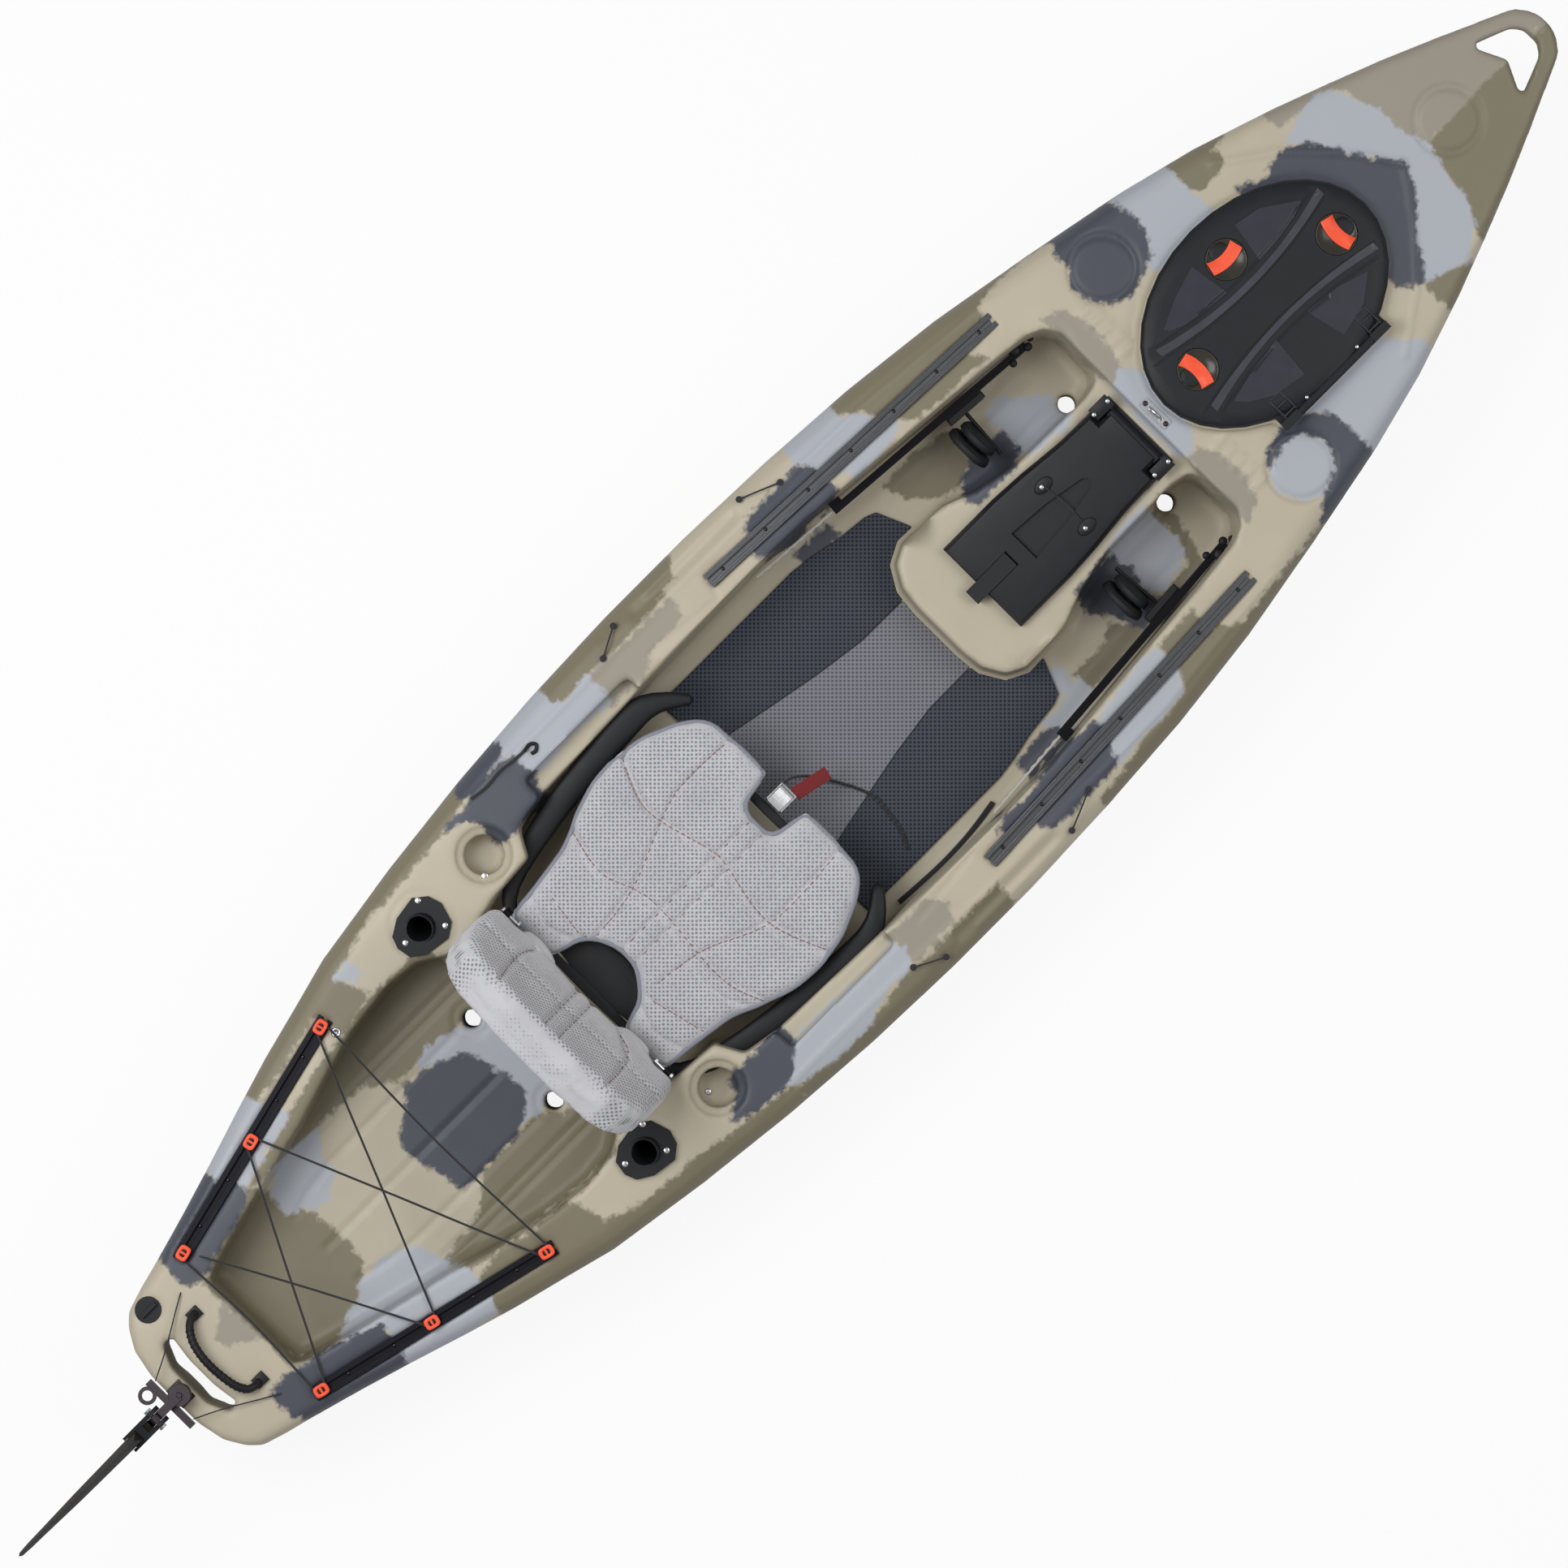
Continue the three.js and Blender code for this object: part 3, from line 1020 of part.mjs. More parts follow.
// Steering cables: from the rudder's arms over the stern, down a hole and forward inside the hull.
// Shares of the half length, of the half beam and of the deck's height
const cableDeckShares = [[-0.9714, 0.161, 1.035], [-0.9371, 0.2416, 1.0033], [-0.9211, 0.2774, 0.9967]];
const cableHullShares = [
  [-0.8914, 0.3356, 0.859], [-0.8, 0.4653, 0.787], [-0.6857, 0.5861, 0.7475], [-0.6, 0.689, 0.7475], [-0.5143, 0.7562, 0.7344],
  [-0.4743, 0.7696, 0.7213], [-0.3771, 0.8233, 0.6557], [-0.1714, 0.8613, 0.623], [0.0571, 0.8322, 0.6295], [0.1171, 0.7718, 0.6492],
];
const cableHoleShares = [0.967, 0.918]; // heights in the hole
const cableBend = 8; // short of the bore's outer end
const cableEndY = railRearY + 11;
const inHull = ([x, y, z]) => [...scaled([x, y]), z * deckHeight];
const cableRoute = [
  [armX + armWidth / 2 + cableRadius, cableY, steeringZ],
  ...cableDeckShares.map(inHull),
  ...cableHoleShares.map((z) => [cableHoleX, cableHoleY, z * deckHeight]),
  ...cableHullShares.map(inHull),
  [cableExitX, cableExitOuter - cableBend, railZ],
  [cableExitX, cableEndY, railZ],
];
for (const [name, side] of sides) {
  const route = cableRoute.map(([x, y, z]) => vec(x, side * y, z));
  addPart(`steering_cable_${name}`, tubeAlong(route, cableRadius, 2, 6), 'blackCord');
}

// Foot braces, drawn along the rail's line with +Y outboard on the port side
const railEndX = halfLength * 0.3943;
const railFrontRoom = 16.4;
const railFrontY = halfBeamMax * 0.605 - railFrontRoom;
const railHalfHeight = 11;
const railHalfDepth = 7;
const railWeb = 3;
const railMouth = 6;
const railLip = 2;
const railLength = Math.hypot(railEndX - railX, railRearY - railFrontY);
const railPlace = (side) => (object) => {
  object.position.set(railX, side * railRearY, railZ);
  object.rotation.z = side * Math.atan2(railFrontY - railRearY, railEndX - railX);
};
const railSection = (side) => {
  const upper = [
    [railHalfDepth, railHalfHeight], [-railHalfDepth, railHalfHeight], [-railHalfDepth, railMouth], [railLip - railHalfDepth, railMouth],
    [railLip - railHalfDepth, railHalfHeight - railWeb], [railHalfDepth - railWeb, railHalfHeight - railWeb],
  ];
  return [...upper, ...upper.slice().reverse().map(([y, z]) => [y, -z])].map(([y, z]) => [side * y, z]);
};
const railFootLength = 24;
const railFootReach = 15;
const rackRear = -185;
const rackFront = 262;
const rackHalfHeight = 6;
const rackBack = 3.2;
const rackFace = -1;
const rackTooth = 2;
const rackPitch = 20;
const carriageRear = rackFront;
const carriageFront = 345;
const carriageBody = [[-4.6, 3.4], [-7.6, 7.6]];
const bracketInner = -22;
const bracketOuter = -10;
const bracketZ = [-52, 12];
const toeAxisX = 300;
const toeAxisZ = -40;
const toePinRadius = 4;
const toePinEnd = -120;
const toeSleeve = 9;
const toeInner = -118;
const toeOuter = -24;
const toePadX = [-44, -35];
const toePadZ = [-36, 68];
const toeRibHalf = 6;
for (const [name, side] of sides) {
  const across = (low, high) => [side * low, side * high];
  const rail = joined(
    alongProfile(railSection(side), 0, railLength),
    slab([0, railFootLength], across(railHalfDepth - railWeb + gap, railFootReach), [-railHalfHeight, railHalfHeight]),
  );
  const rackTeeth = Math.floor((rackFront - rackRear) / rackPitch);
  const rackOutline = [[rackRear, rackBack], [rackFront - gap, rackBack], [rackFront - gap, rackFace]];
  for (let i = rackTeeth; i > 0; i -= 1) {
    rackOutline.push([rackRear + i * rackPitch, rackFace], [rackRear + (i - 0.5) * rackPitch, rackFace - rackTooth]);
  }
  rackOutline.push([rackRear, rackFace]);
  const bore = rod(...[cableEndY - cableEndRoom, cableEndY + overrun].map((y) => vec(cableExitX, side * y, railZ)), cableBore, 8);
  const toWorld = (manifold) => placedCopy(geometryOf(manifold), railPlace(side));
  addPart(`foot_rail_${name}`, without(toWorld(rail), bore), 'blackAlloy');
  const rack = prism(toOutline(rackOutline.map(([x, y]) => [x, side * y])), -rackHalfHeight, rackHalfHeight);
  addPart(`foot_rack_${name}`, rack, 'paleRack', railPlace(side));
  const axis = (low, high) => [vec(toeAxisX, side * low, toeAxisZ), vec(toeAxisX, side * high, toeAxisZ)];
  const carriage = joined(
    slab([carriageRear, carriageFront], across(...carriageBody[0]), carriageBody[1]),
    slab([carriageRear, carriageFront], across(bracketInner, carriageBody[0][0] + gap), [-railMouth + gap, railMouth - gap]),
    slab([carriageRear + railWeb, carriageFront - railWeb], across(bracketInner, bracketOuter), bracketZ),
    rod(...axis(bracketOuter, toePinEnd), toePinRadius, 10),
  );
  addPart(`pedal_carriage_${name}`, carriage, 'blackPlastic', railPlace(side));
  const padLow = toeAxisX + toePadX[0];
  const padHigh = toeAxisX + toePadX[1];
  const ribPlaces = [toeInner + toeRibHalf, (toeInner + toeOuter) / 2, toeOuter - toeRibHalf];
  const ribs = ribPlaces.map((y) => slab(
    [padHigh - gap, toeAxisX], across(y - toeRibHalf, y + toeRibHalf), [toeAxisZ - toeRibHalf, toeAxisZ + toeRibHalf],
  ));
  const pad = without(joined(
    slab([padLow, padHigh], across(toeInner, toeOuter), toePadZ.map((z) => toeAxisZ + z)),
    rod(...axis(toeInner, toeOuter), toeSleeve, 12), ...ribs,
  ), rod(...axis(toeInner - overrun, toeOuter + overrun), toePinRadius + gap, 10));
  addPart(`toe_pad_${name}`, pad, 'blackPlastic', railPlace(side));
}

// Seat frame, drawn on the seat's own centreline, which lies a little to starboard
const seatShift = -10;
const inSeat = (object) => object.position.set(0, seatShift, 0);
const frameDrop = 43; // from the slots' floor down to the frame's underside
const frameBar = 18;
const frameDepth = 22;
const frameLow = seatSlotFloor - frameDrop;
const frameHigh = frameLow + frameDepth;
const cushionLength = 508;
const cushionRear = seatX + 13;
const cushionFront = cushionRear + cushionLength;
const frameFront = cushionFront - 46;
const frameHalf = seatSide - 44;
const uprightY = frameHalf - 78;
const frameBend = seatX + 173; // where its sides begin to draw in
const frameNarrow = frameBend - 60;
const frameRear = seatX - 10;
const frontBarX = seatX + 403;
const rearBarX = seatX + 63;
const wingRear = seatX + 233;
const wingFront = wingRear + 180;
const frameLine = [[frameFront, frameHalf], [frameBend, frameHalf], [frameNarrow, uprightY], [frameRear, uprightY]];
const frameBars = [[frameFront, frameHalf], [frontBarX, frameHalf], [wingRear, frameHalf], [rearBarX, uprightY]];
const wingX = [wingRear, wingFront];
const wingOuter = seatSide + 22;
const wingInner = seatSide - 28;
const wingWeb = 8;
const wingThickness = 22;
const tongueRear = cushionFront - 56;
const tongueFront = cushionFront - 4;
const tongueX = [tongueRear, tongueFront];
const tongueHalf = 17;
const tongueTop = frameHigh + 6;
const tongueLow = frameHigh - 4;
const pivotRise = 91; // of the back's pivot above the frame
const pivotZ = frameHigh + pivotRise;
const pivotBoss = 12;
const uprightTop = pivotZ + pivotBoss;
const frameZ = [frameLow, frameHigh];
const framePieces = [slab(tongueX, [-tongueHalf, tongueHalf], [tongueLow, tongueTop])];
for (const [x, reach] of frameBars) framePieces.push(slab([x - frameBar / 2, x + frameBar / 2], [-reach, reach], frameZ));
for (const [, side] of sides) {
  const edge = (shift) => frameLine.map(([x, y]) => [x, side * (y + shift)]);
  const ys = (low, high) => [side * low, side * high];
  framePieces.push(
    prism(toOutline([...edge(frameBar / 2), ...edge(-frameBar / 2).reverse()]), frameLow, frameHigh),
    slab([seatX - frameBar / 2, seatX + frameBar / 2], ys(uprightY - frameBar / 2, uprightY + frameBar / 2), [frameLow, uprightTop]),
    slab(wingX, ys(frameLine[0][1], wingInner + wingWeb), frameZ),
    slab(wingX, ys(wingInner, wingInner + wingWeb), [frameLow, seatSlotFloor + wingThickness]),
    slab(wingX, ys(wingInner, wingOuter), [seatSlotFloor + gap, seatSlotFloor + wingThickness]),
  );
}
const boltRod = (radius) => rod(vec(seatX, -wingInner, pivotZ), vec(seatX, wingInner, pivotZ), radius, 10);
addPart('seat_frame', without(joined(...framePieces), boltRod(boltRadius + gap)), 'blackAlloy', inSeat);

// Closed block whose top is a grid: columns of place and puff, rows of place, bow and puff
function quiltedBlock(columns, rows, low, heightAt) {
  const top = rows.flatMap(([y, bow, rowPuff]) => columns.map(([x, puff]) => vec(x + bow, y, heightAt(puff, rowPuff))));
  const points = [...top, ...top.map((p) => vec(p.x, p.y, low))];
  const across = columns.length;
  const under = top.length;
  const triangles = [];
  const wall = (a, b) => triangles.push([a, b + under, b], [a, a + under, b + under]);
  for (let j = 0; j < rows.length - 1; j += 1) {
    for (let i = 0; i < across - 1; i += 1) {
      const a = j * across + i;
      const c = a + across;
      triangles.push([a, a + 1, c + 1], [a, c + 1, c], [under + a, under + c + 1, under + a + 1], [under + a, under + c, under + c + 1]);
    }
    wall((j + 1) * across, j * across);
    wall(j * across + across - 1, (j + 1) * across + across - 1);
  }
  for (let i = 0; i < across - 1; i += 1) {
    wall(i, i + 1);
    wall(under - across + i + 1, under - across + i);
  }
  return solid(closedGeometry(points, triangles));
}

// Soft pad with drawn-in sides: height share and how far that ring stands in, as a share of the thickness
const padSides = [[0, 0.1], [0.12, 0], [0.42, 0.07], [0.74, 0], [0.9, 0.1], [1.1, 0.3]];
function softPad(outline, base, thickness, quilt) {
  const rings = padSides.map(([rise, inset]) => ringAt(offsetOutline(outline, -inset * thickness), base + rise * thickness));
  return solid(loft(rings, flattenPlan)).intersect(quilt);
}

// Seat cushion: three cross seams and a lengthwise one sewn down into it
const cushionHalf = seatSide - 31;
const cushionBase = frameHigh + gap;
const cushionThickness = 47;
const cushionCrown = 11;
const cushionShares = [
  [0.85, 0.07], [0.862, 0.13], [1, 0.18], [1, 0.5], [0.985, 0.69], [0.955, 0.776], [0.886, 0.866], [0.768, 0.957],
  [0.65, 1], [0.512, 0.985], [0.374, 0.905], [0.276, 0.816], [0.138, 0.776], [0.01, 0.75], [0, 0.7], [0, 0.34],
  [0.1, 0.26], [0.15, 0.13], [0.158, 0.04],
];
const seatPoint = ([along, across]) => [cushionRear + along * cushionLength, across * cushionHalf];
const seamPuff = -0.35;
const seatColumns = [
  [-0.08, 0.1], [0.06, 0.6], [0.1, 0.62], [0.115, seamPuff], [0.13, 0.62], [0.22, 0.9], [0.31, 0.75],
  [0.328, seamPuff], [0.346, 0.75],
  [0.44, 1], [0.54, 1], [0.605, 0.8], [0.622, seamPuff], [0.64, 0.8], [0.75, 1], [0.87, 0.85], [0.98, 0.5], [1.08, 0],
];
const seatRows = [
  [-1.1, 0.07, 0.1], [-0.9, 0.035, 0.5], [-0.7, -0.02, 0.8], [-0.5, -0.04, 0.95], [-0.25, -0.02, 1], [-0.08, 0.01, 0.8],
  [0, 0.015, 0.55],
  [0.08, 0.01, 0.8], [0.25, -0.02, 1], [0.5, -0.04, 0.95], [0.7, -0.02, 0.8], [0.9, 0.035, 0.5], [1.1, 0.07, 0.1],
];
const columnsOf = (shares, rear, length) => shares.map(([along, puff]) => [rear + along * length, puff]);
const rowsOf = (shares, half, length) => shares.map(([across, bow, puff]) => [across * half, bow * length, puff]);
const puffed = (base, thickness, crown) => (puff, rowPuff) => base + thickness + crown * Math.min(puff, puff * rowPuff);
const seatQuilt = quiltedBlock(
  columnsOf(seatColumns, cushionRear, cushionLength), rowsOf(seatRows, cushionHalf, cushionLength),
  cushionBase - overrun, puffed(cushionBase, cushionThickness, cushionCrown),
);
const cushionOutline = toOutline(mirrored(cushionShares.map(seatPoint)));
addPart('seat_cushion', softPad(cushionOutline, cushionBase, cushionThickness, seatQuilt), 'greyMesh', inSeat);

// Seat back, drawn lying flat with its top aft and its front face up, then turned up on the pivot
const backLean = degrees(18);
const onBack = (object) => {
  object.position.set(seatX, seatShift, pivotZ);
  object.rotation.y = Math.PI / 2 - backLean;
};
const backArm = 14;
const backArmInner = uprightY + frameBar / 2 + gap;
const backArmZ = [-43, -31];
const backArmX = [-235, 2];
const backBossX = -14;
const backBars = [-61, -226];
const backReach = backArmInner + backArm / 2;
const backPieces = backBars.map((x) => slab([x - frameBar / 2, x + frameBar / 2], [-backReach, backReach], backArmZ));
for (const [, side] of sides) {
  const ys = [side * backArmInner, side * (backArmInner + backArm)];
  backPieces.push(
    slab(backArmX, ys, backArmZ),
    slab([backBossX, backArmX[1]], ys, [backArmZ[0], 0]),
    rod(vec(0, ys[0], 0), vec(0, ys[1], 0), pivotBoss, 14),
  );
}
const backBore = rod(vec(0, -wingInner, 0), vec(0, wingInner, 0), boltRadius + gap, 10);
addPart('seat_back_frame', without(joined(...backPieces), backBore), 'blackAlloy', onBack);

const backBottom = 12;
const backLength = 277;
const backHalf = seatSide - 64;
const backBase = backArmZ[1] + gap;
const backThickness = 42;
const backCrown = 13;
const backShares = [
  [-0.13, 0.12], [-0.12, 0.28], [-0.03, 0.36], [0, 0.42], [0, 0.62], [-0.015, 0.68], [-0.11, 0.7], [-0.13, 0.76],
  [-0.14, 0.93], [-0.19, 0.985], [-0.42, 1], [-0.78, 0.985], [-0.9, 0.94], [-0.975, 0.84], [-1, 0.68], [-1.02, 0.3],
];
const backPoint = ([along, across]) => [backBottom + along * backLength, across * backHalf];
const backColumns = [
  [-1.1, 0.1], [-0.94, 0.7], [-0.72, 1], [-0.56, 0.85], [-0.54, seamPuff], [-0.52, 0.85], [-0.36, 1], [-0.2, 0.8],
  [-0.02, 0.5], [0.1, 0.1],
];
const backRows = [
  [-1.1, 0, 0.1], [-0.85, 0, 0.6], [-0.5, 0, 1], [-0.12, 0, 0.95], [0, 0, 0.6], [0.12, 0, 0.95], [0.5, 0, 1],
  [0.85, 0, 0.6], [1.1, 0, 0.1],
];
const backQuilt = quiltedBlock(
  columnsOf(backColumns, backBottom, backLength), rowsOf(backRows, backHalf, backLength),
  backBase - overrun, puffed(backBase, backThickness, backCrown),
);
const backOutline = toOutline(mirrored(backShares.map(backPoint)));
addPart('seat_back_cushion', softPad(backOutline, backBase, backThickness, backQuilt), 'greyMesh', onBack);
for (const [name, side] of sides) {
  const inner = uprightY - frameBar / 2 - gap;
  const outer = backArmInner + backArm + gap;
  const at = (y) => vec(seatX, side * y, pivotZ);
  addPart(`seat_pivot_${name}`, joined(
    rod(at(inner - boltHeadHeight), at(outer + boltHeadHeight), boltRadius, 10),
    rod(at(inner - boltHeadHeight), at(inner), boltHead, 8), rod(at(outer), at(outer + boltHeadHeight), boltHead, 8),
  ), 'stainless', inSeat);
}

// Strap buckle on the frame's tongue, its cam lever, pull tab and loose tail
const buckleRear = cushionFront - 43;
const buckleFront = buckleRear + 40;
const buckleX = [buckleRear, buckleFront];
const buckleHalf = 19;
const buckleBase = tongueTop + gap;
const bucklePlate = 3;
const buckleCheek = 3;
const buckleHeight = 14;
const leverAxisX = cushionFront - 11;
const leverAxisZ = buckleBase + 9;
const leverPin = 2;
const leverThickness = 6;
const leverRoom = 1; // beside the cheeks and round its pin
const leverNose = 2; // how far it reaches past the buckle's plate
const cheekY = buckleHalf - buckleCheek;
const leverPinRod = (radius, reach) => rod(
  vec(leverAxisX, -reach, leverAxisZ), vec(leverAxisX, reach, leverAxisZ), radius, 8,
);
addPart('seat_buckle', joined(
  slab(buckleX, [-buckleHalf, buckleHalf], [buckleBase, buckleBase + bucklePlate]),
  ...sides.map(([, side]) => slab(buckleX, [side * cheekY, side * buckleHalf], [buckleBase, buckleBase + buckleHeight])),
  leverPinRod(leverPin, cheekY + leverRoom),
), 'stainless', inSeat);
const leverHalf = cheekY - leverRoom;
const leverZ = [leverAxisZ - leverThickness / 2, leverAxisZ + leverThickness / 2];
addPart('buckle_lever', without(
  joined(
    slab([buckleRear - leverNose, leverAxisX], [-leverHalf, leverHalf], leverZ),
    leverPinRod(leverThickness / 2 + leverRoom, leverHalf),
  ),
  leverPinRod(leverPin + gap, buckleHalf),
), 'stainless', inSeat);
const tabLength = 78;
const tabHalf = 13;
const tabThickness = 2.5;
const tab = slab([0, tabLength], [-tabHalf, tabHalf], [-tabThickness / 2, tabThickness / 2]);
addPart('strap_tab', tab, 'redWebbing', (object) => {
  object.position.set(tongueFront + tabThickness / 2 + gap, seatShift - tabHalf, tongueTop - tabThickness);
  object.rotation.order = 'ZYX';
  object.rotation.z = degrees(-12);
  object.rotation.y = degrees(22);
});
const padTop = cockpitFloor + 8;
const tailRadius = 3;
const tailFloor = padTop + tailRadius + gap;
// Ahead of the cushion's front, to port, and above where the tail lies on the pad
const tailRoute = [
  [tailRadius - 3, 6, 135], [10, 4, 124.7], [22, -2, 103.7], [39, -18, 53.7], [58, -45, 14.7], [72, -70, 3],
  [85, -95, 0], [97, -130, 0], [94, -175, 0], [87, -210, 0], [72, -240, 0],
].map(([ahead, across, above]) => vec(cushionFront + ahead, across, tailFloor + above));
addPart('strap_tail', tubeAlong(tailRoute, tailRadius, 2, 6), 'blackCord');

// Foam pads on the cockpit floor
const padBase = cockpitFloor + gap;
const bandShares = [
  [-0.1371, 0.3266], [-0.1086, 0.3087], [-0.0571, 0.2685], [0, 0.226], [0.0571, 0.1946], [0.1326, 0.1924],
];
const innerShares = [[0.1326, 0.2081], [0.1497, 0.3199], [0.1657, 0.34]];
const outerShares = [
  [0.18, 0.3691], [0.1629, 0.5257], [0.1514, 0.5436], [0.1143, 0.5593], [0.08, 0.5861], [0.0571, 0.5973], [-0.1371, 0.5996],
];
const bandLine = bandShares.map(scaled);
const cockpitRoom = () => solid(wellFill(cockpitOutline, cockpitFloor, mouthHeight, -gap));
const padSeam = 1;
for (const [name, side] of sides) {
  const half = [...bandLine.map(([x, y]) => [x, y + padSeam]), ...innerShares.map(scaled), ...outerShares.map(scaled)];
  const pad = prism(toOutline(half.map(([x, y]) => [x, side * y])), padBase, padTop);
  addPart(`floor_pad_${name}`, solid(pad).intersect(cockpitRoom()), 'darkFoam');
}
const centrePad = prism(toOutline(mirrored(bandLine)), padBase, padTop);
addPart('floor_pad_centre', solid(centrePad).intersect(cockpitRoom()), 'greyFoam');

// Elastic loops along the gunwales that hold the paddle
const loopCord = 2;
const loopButton = 7;
const loopButtonHeight = 7;
const loopRise = 9;
const loopEndShares = {
  rear: [[-0.1457, 0.8837], [-0.1143, 0.9485]],
  front: [[0.0697, 0.9485], [0.112, 0.8792]],
};
for (const [name, side] of sides) {
  for (const [place, ends] of Object.entries(loopEndShares)) {
    const feet = ends.map(scaled).map(([x, y]) => vec(x, side * y, deckTop(x, y - loopButton) + gap));
    const middle = feet[0].clone().add(feet[1]).multiplyScalar(0.5).setZ(Math.max(feet[0].z, feet[1].z) + loopRise);
    const raised = feet.map((foot) => foot.clone().setZ(foot.z + loopButtonHeight / 2));
    const buttons = feet.map((foot) => rod(foot, foot.clone().setZ(foot.z + loopButtonHeight), loopButton, 8));
    const cord = tubeAlong([raised[0], middle, raised[1]], loopCord, 3, 5);
    addPart(`paddle_loop_${name}_${place}`, joined(...buttons, cord), 'blackCord');
  }
}

export default kayak;
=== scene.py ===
# Sit-on-top fishing kayak: finishes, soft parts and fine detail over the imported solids, in metres
import math

import bmesh
import bpy
import numpy as np
from mathutils import Matrix, Vector
from mathutils.bvhtree import BVHTree


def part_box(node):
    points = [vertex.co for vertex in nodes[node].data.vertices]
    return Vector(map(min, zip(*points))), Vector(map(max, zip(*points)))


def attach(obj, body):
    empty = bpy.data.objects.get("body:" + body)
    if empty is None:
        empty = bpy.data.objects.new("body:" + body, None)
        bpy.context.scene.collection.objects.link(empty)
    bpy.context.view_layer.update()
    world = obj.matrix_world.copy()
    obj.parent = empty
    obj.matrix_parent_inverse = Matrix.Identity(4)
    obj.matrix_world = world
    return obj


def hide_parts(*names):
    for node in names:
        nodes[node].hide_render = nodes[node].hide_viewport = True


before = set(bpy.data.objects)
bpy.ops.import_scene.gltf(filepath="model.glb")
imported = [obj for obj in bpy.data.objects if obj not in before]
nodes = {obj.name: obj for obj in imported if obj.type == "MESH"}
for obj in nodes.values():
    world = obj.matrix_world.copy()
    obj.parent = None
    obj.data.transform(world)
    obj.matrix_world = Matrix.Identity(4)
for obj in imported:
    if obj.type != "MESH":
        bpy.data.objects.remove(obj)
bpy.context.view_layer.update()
scene = bpy.context.scene
collection = scene.collection
sides = (("port", 1), ("starboard", -1))
mm = 0.001


def vec(x, y, z):
    return Vector((x, y, z)) * mm  # places are read off the part's source in millimetres


# camera, straight above the boat as in the photograph
camera = {
    "lookAt": (-0.185, 0.004),
    "turn": -45.155,  # degrees, puts the bow at the upper right
    "height": 16.0,  # far enough for the scuppers to be seen right through
    "lens": 199.7,  # the frame then spans 2.83 m on the deck
}
eye = bpy.data.objects.new("camera", bpy.data.cameras.new("camera"))
collection.objects.link(eye)
eye.location = (*camera["lookAt"], camera["height"])
eye.rotation_euler = (0, 0, math.radians(camera["turn"]))
eye.data.lens = camera["lens"]
scene.camera = eye


# meshes
def makeObject(name, mesh, material, body, smooth=True):
    obj = bpy.data.objects.new(name, mesh)
    collection.objects.link(obj)
    mesh.materials.clear()
    mesh.materials.append(material)
    mesh.polygons.foreach_set("use_smooth", [smooth] * len(mesh.polygons))
    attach(obj, body)
    return obj


def meshFrom(bm, name):
    mesh = bpy.data.meshes.new(name)
    bm.to_mesh(mesh)
    bm.free()
    return mesh


def weldedCopy(nodeName, flatAngle=0.0):
    bm = bmesh.new()
    bm.from_mesh(nodes[nodeName].data)
    bmesh.ops.remove_doubles(bm, verts=bm.verts, dist=0.02 * mm)
    if flatAngle:
        bmesh.ops.dissolve_limit(bm, angle_limit=math.radians(flatAngle), verts=bm.verts, edges=bm.edges)
    return bm


def boxOf(nodeName):
    return [Vector(corner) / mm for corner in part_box(nodeName)]


def addModifier(obj, kind, **settings):
    modifier = obj.modifiers.new(kind.lower(), kind)
    for name, value in settings.items():
        setattr(modifier, name, value)
    return modifier


def applyModifiers(obj):
    baked = bpy.data.meshes.new_from_object(obj.evaluated_get(bpy.context.evaluated_depsgraph_get()))
    obj.modifiers.clear()
    obj.data = baked
    return obj


def positionsOf(mesh, field="vertices", attribute="co"):
    values = np.zeros(len(getattr(mesh, field)) * 3)
    getattr(mesh, field).foreach_get(attribute, values)
    return values.reshape(-1, 3)


def setPositions(mesh, points):
    mesh.vertices.foreach_set("co", points.astype(np.float32).ravel())
    mesh.update()


def insetMesh(bm, distance):
    bmesh.ops.recalc_face_normals(bm, faces=bm.faces)
    bm.normal_update()
    for vert in bm.verts:
        vert.co -= vert.normal * distance


# faces between rings of as many points each
def skinRings(bm, rings, closed=False):
    for lower, upper in zip(rings, rings[1:] + rings[:1] if closed else rings[1:]):
        for i in range(len(lower)):
            j = (i + 1) % len(lower)
            bm.faces.new((lower[i], lower[j], upper[j], upper[i]))


# closed or open outline in its own plane, pushed up between two heights with rounded upper edges
def extruded(outline, low, high, round=0.0):
    bm = bmesh.new()
    steps = [(0.0, low), (0.0, high - round)]
    if round:
        steps += [(round * 0.3, high - round * 0.3), (round, high)]
    centre = sum(outline, Vector((0, 0))) / len(outline)
    rings = []
    for inset, z in steps:
        ring = []
        for point in outline:
            inward = (centre - point).normalized() * inset
            ring.append(bm.verts.new((point.x + inward.x, point.y + inward.y, z)))
        rings.append(ring)
    skinRings(bm, rings)
    bm.faces.new(rings[-1])
    bm.faces.new(rings[0][::-1])
    bmesh.ops.recalc_face_normals(bm, faces=bm.faces)
    return bm


def around(count):
    return [2 * math.pi * i / count for i in range(count)]


def oval(halfX, halfY, count=32):
    return [Vector((halfX * math.cos(a), halfY * math.sin(a))) for a in around(count)]


# a profile of radii and heights in mm, turned about the upright axis
def turned(profile, count=32):
    profile = [(radius * mm, z * mm) for radius, z in profile]
    bm = bmesh.new()
    ends = [bm.verts.new((0, 0, profile[0][1])), bm.verts.new((0, 0, profile[-1][1]))]
    rings = [[bm.verts.new((p.x, p.y, z)) for p in oval(radius, radius, count)] for radius, z in profile]
    skinRings(bm, rings)
    for i in range(count):
        j = (i + 1) % count
        bm.faces.new((ends[0], rings[0][j], rings[0][i]))
        bm.faces.new((ends[1], rings[-1][i], rings[-1][j]))
    return bm


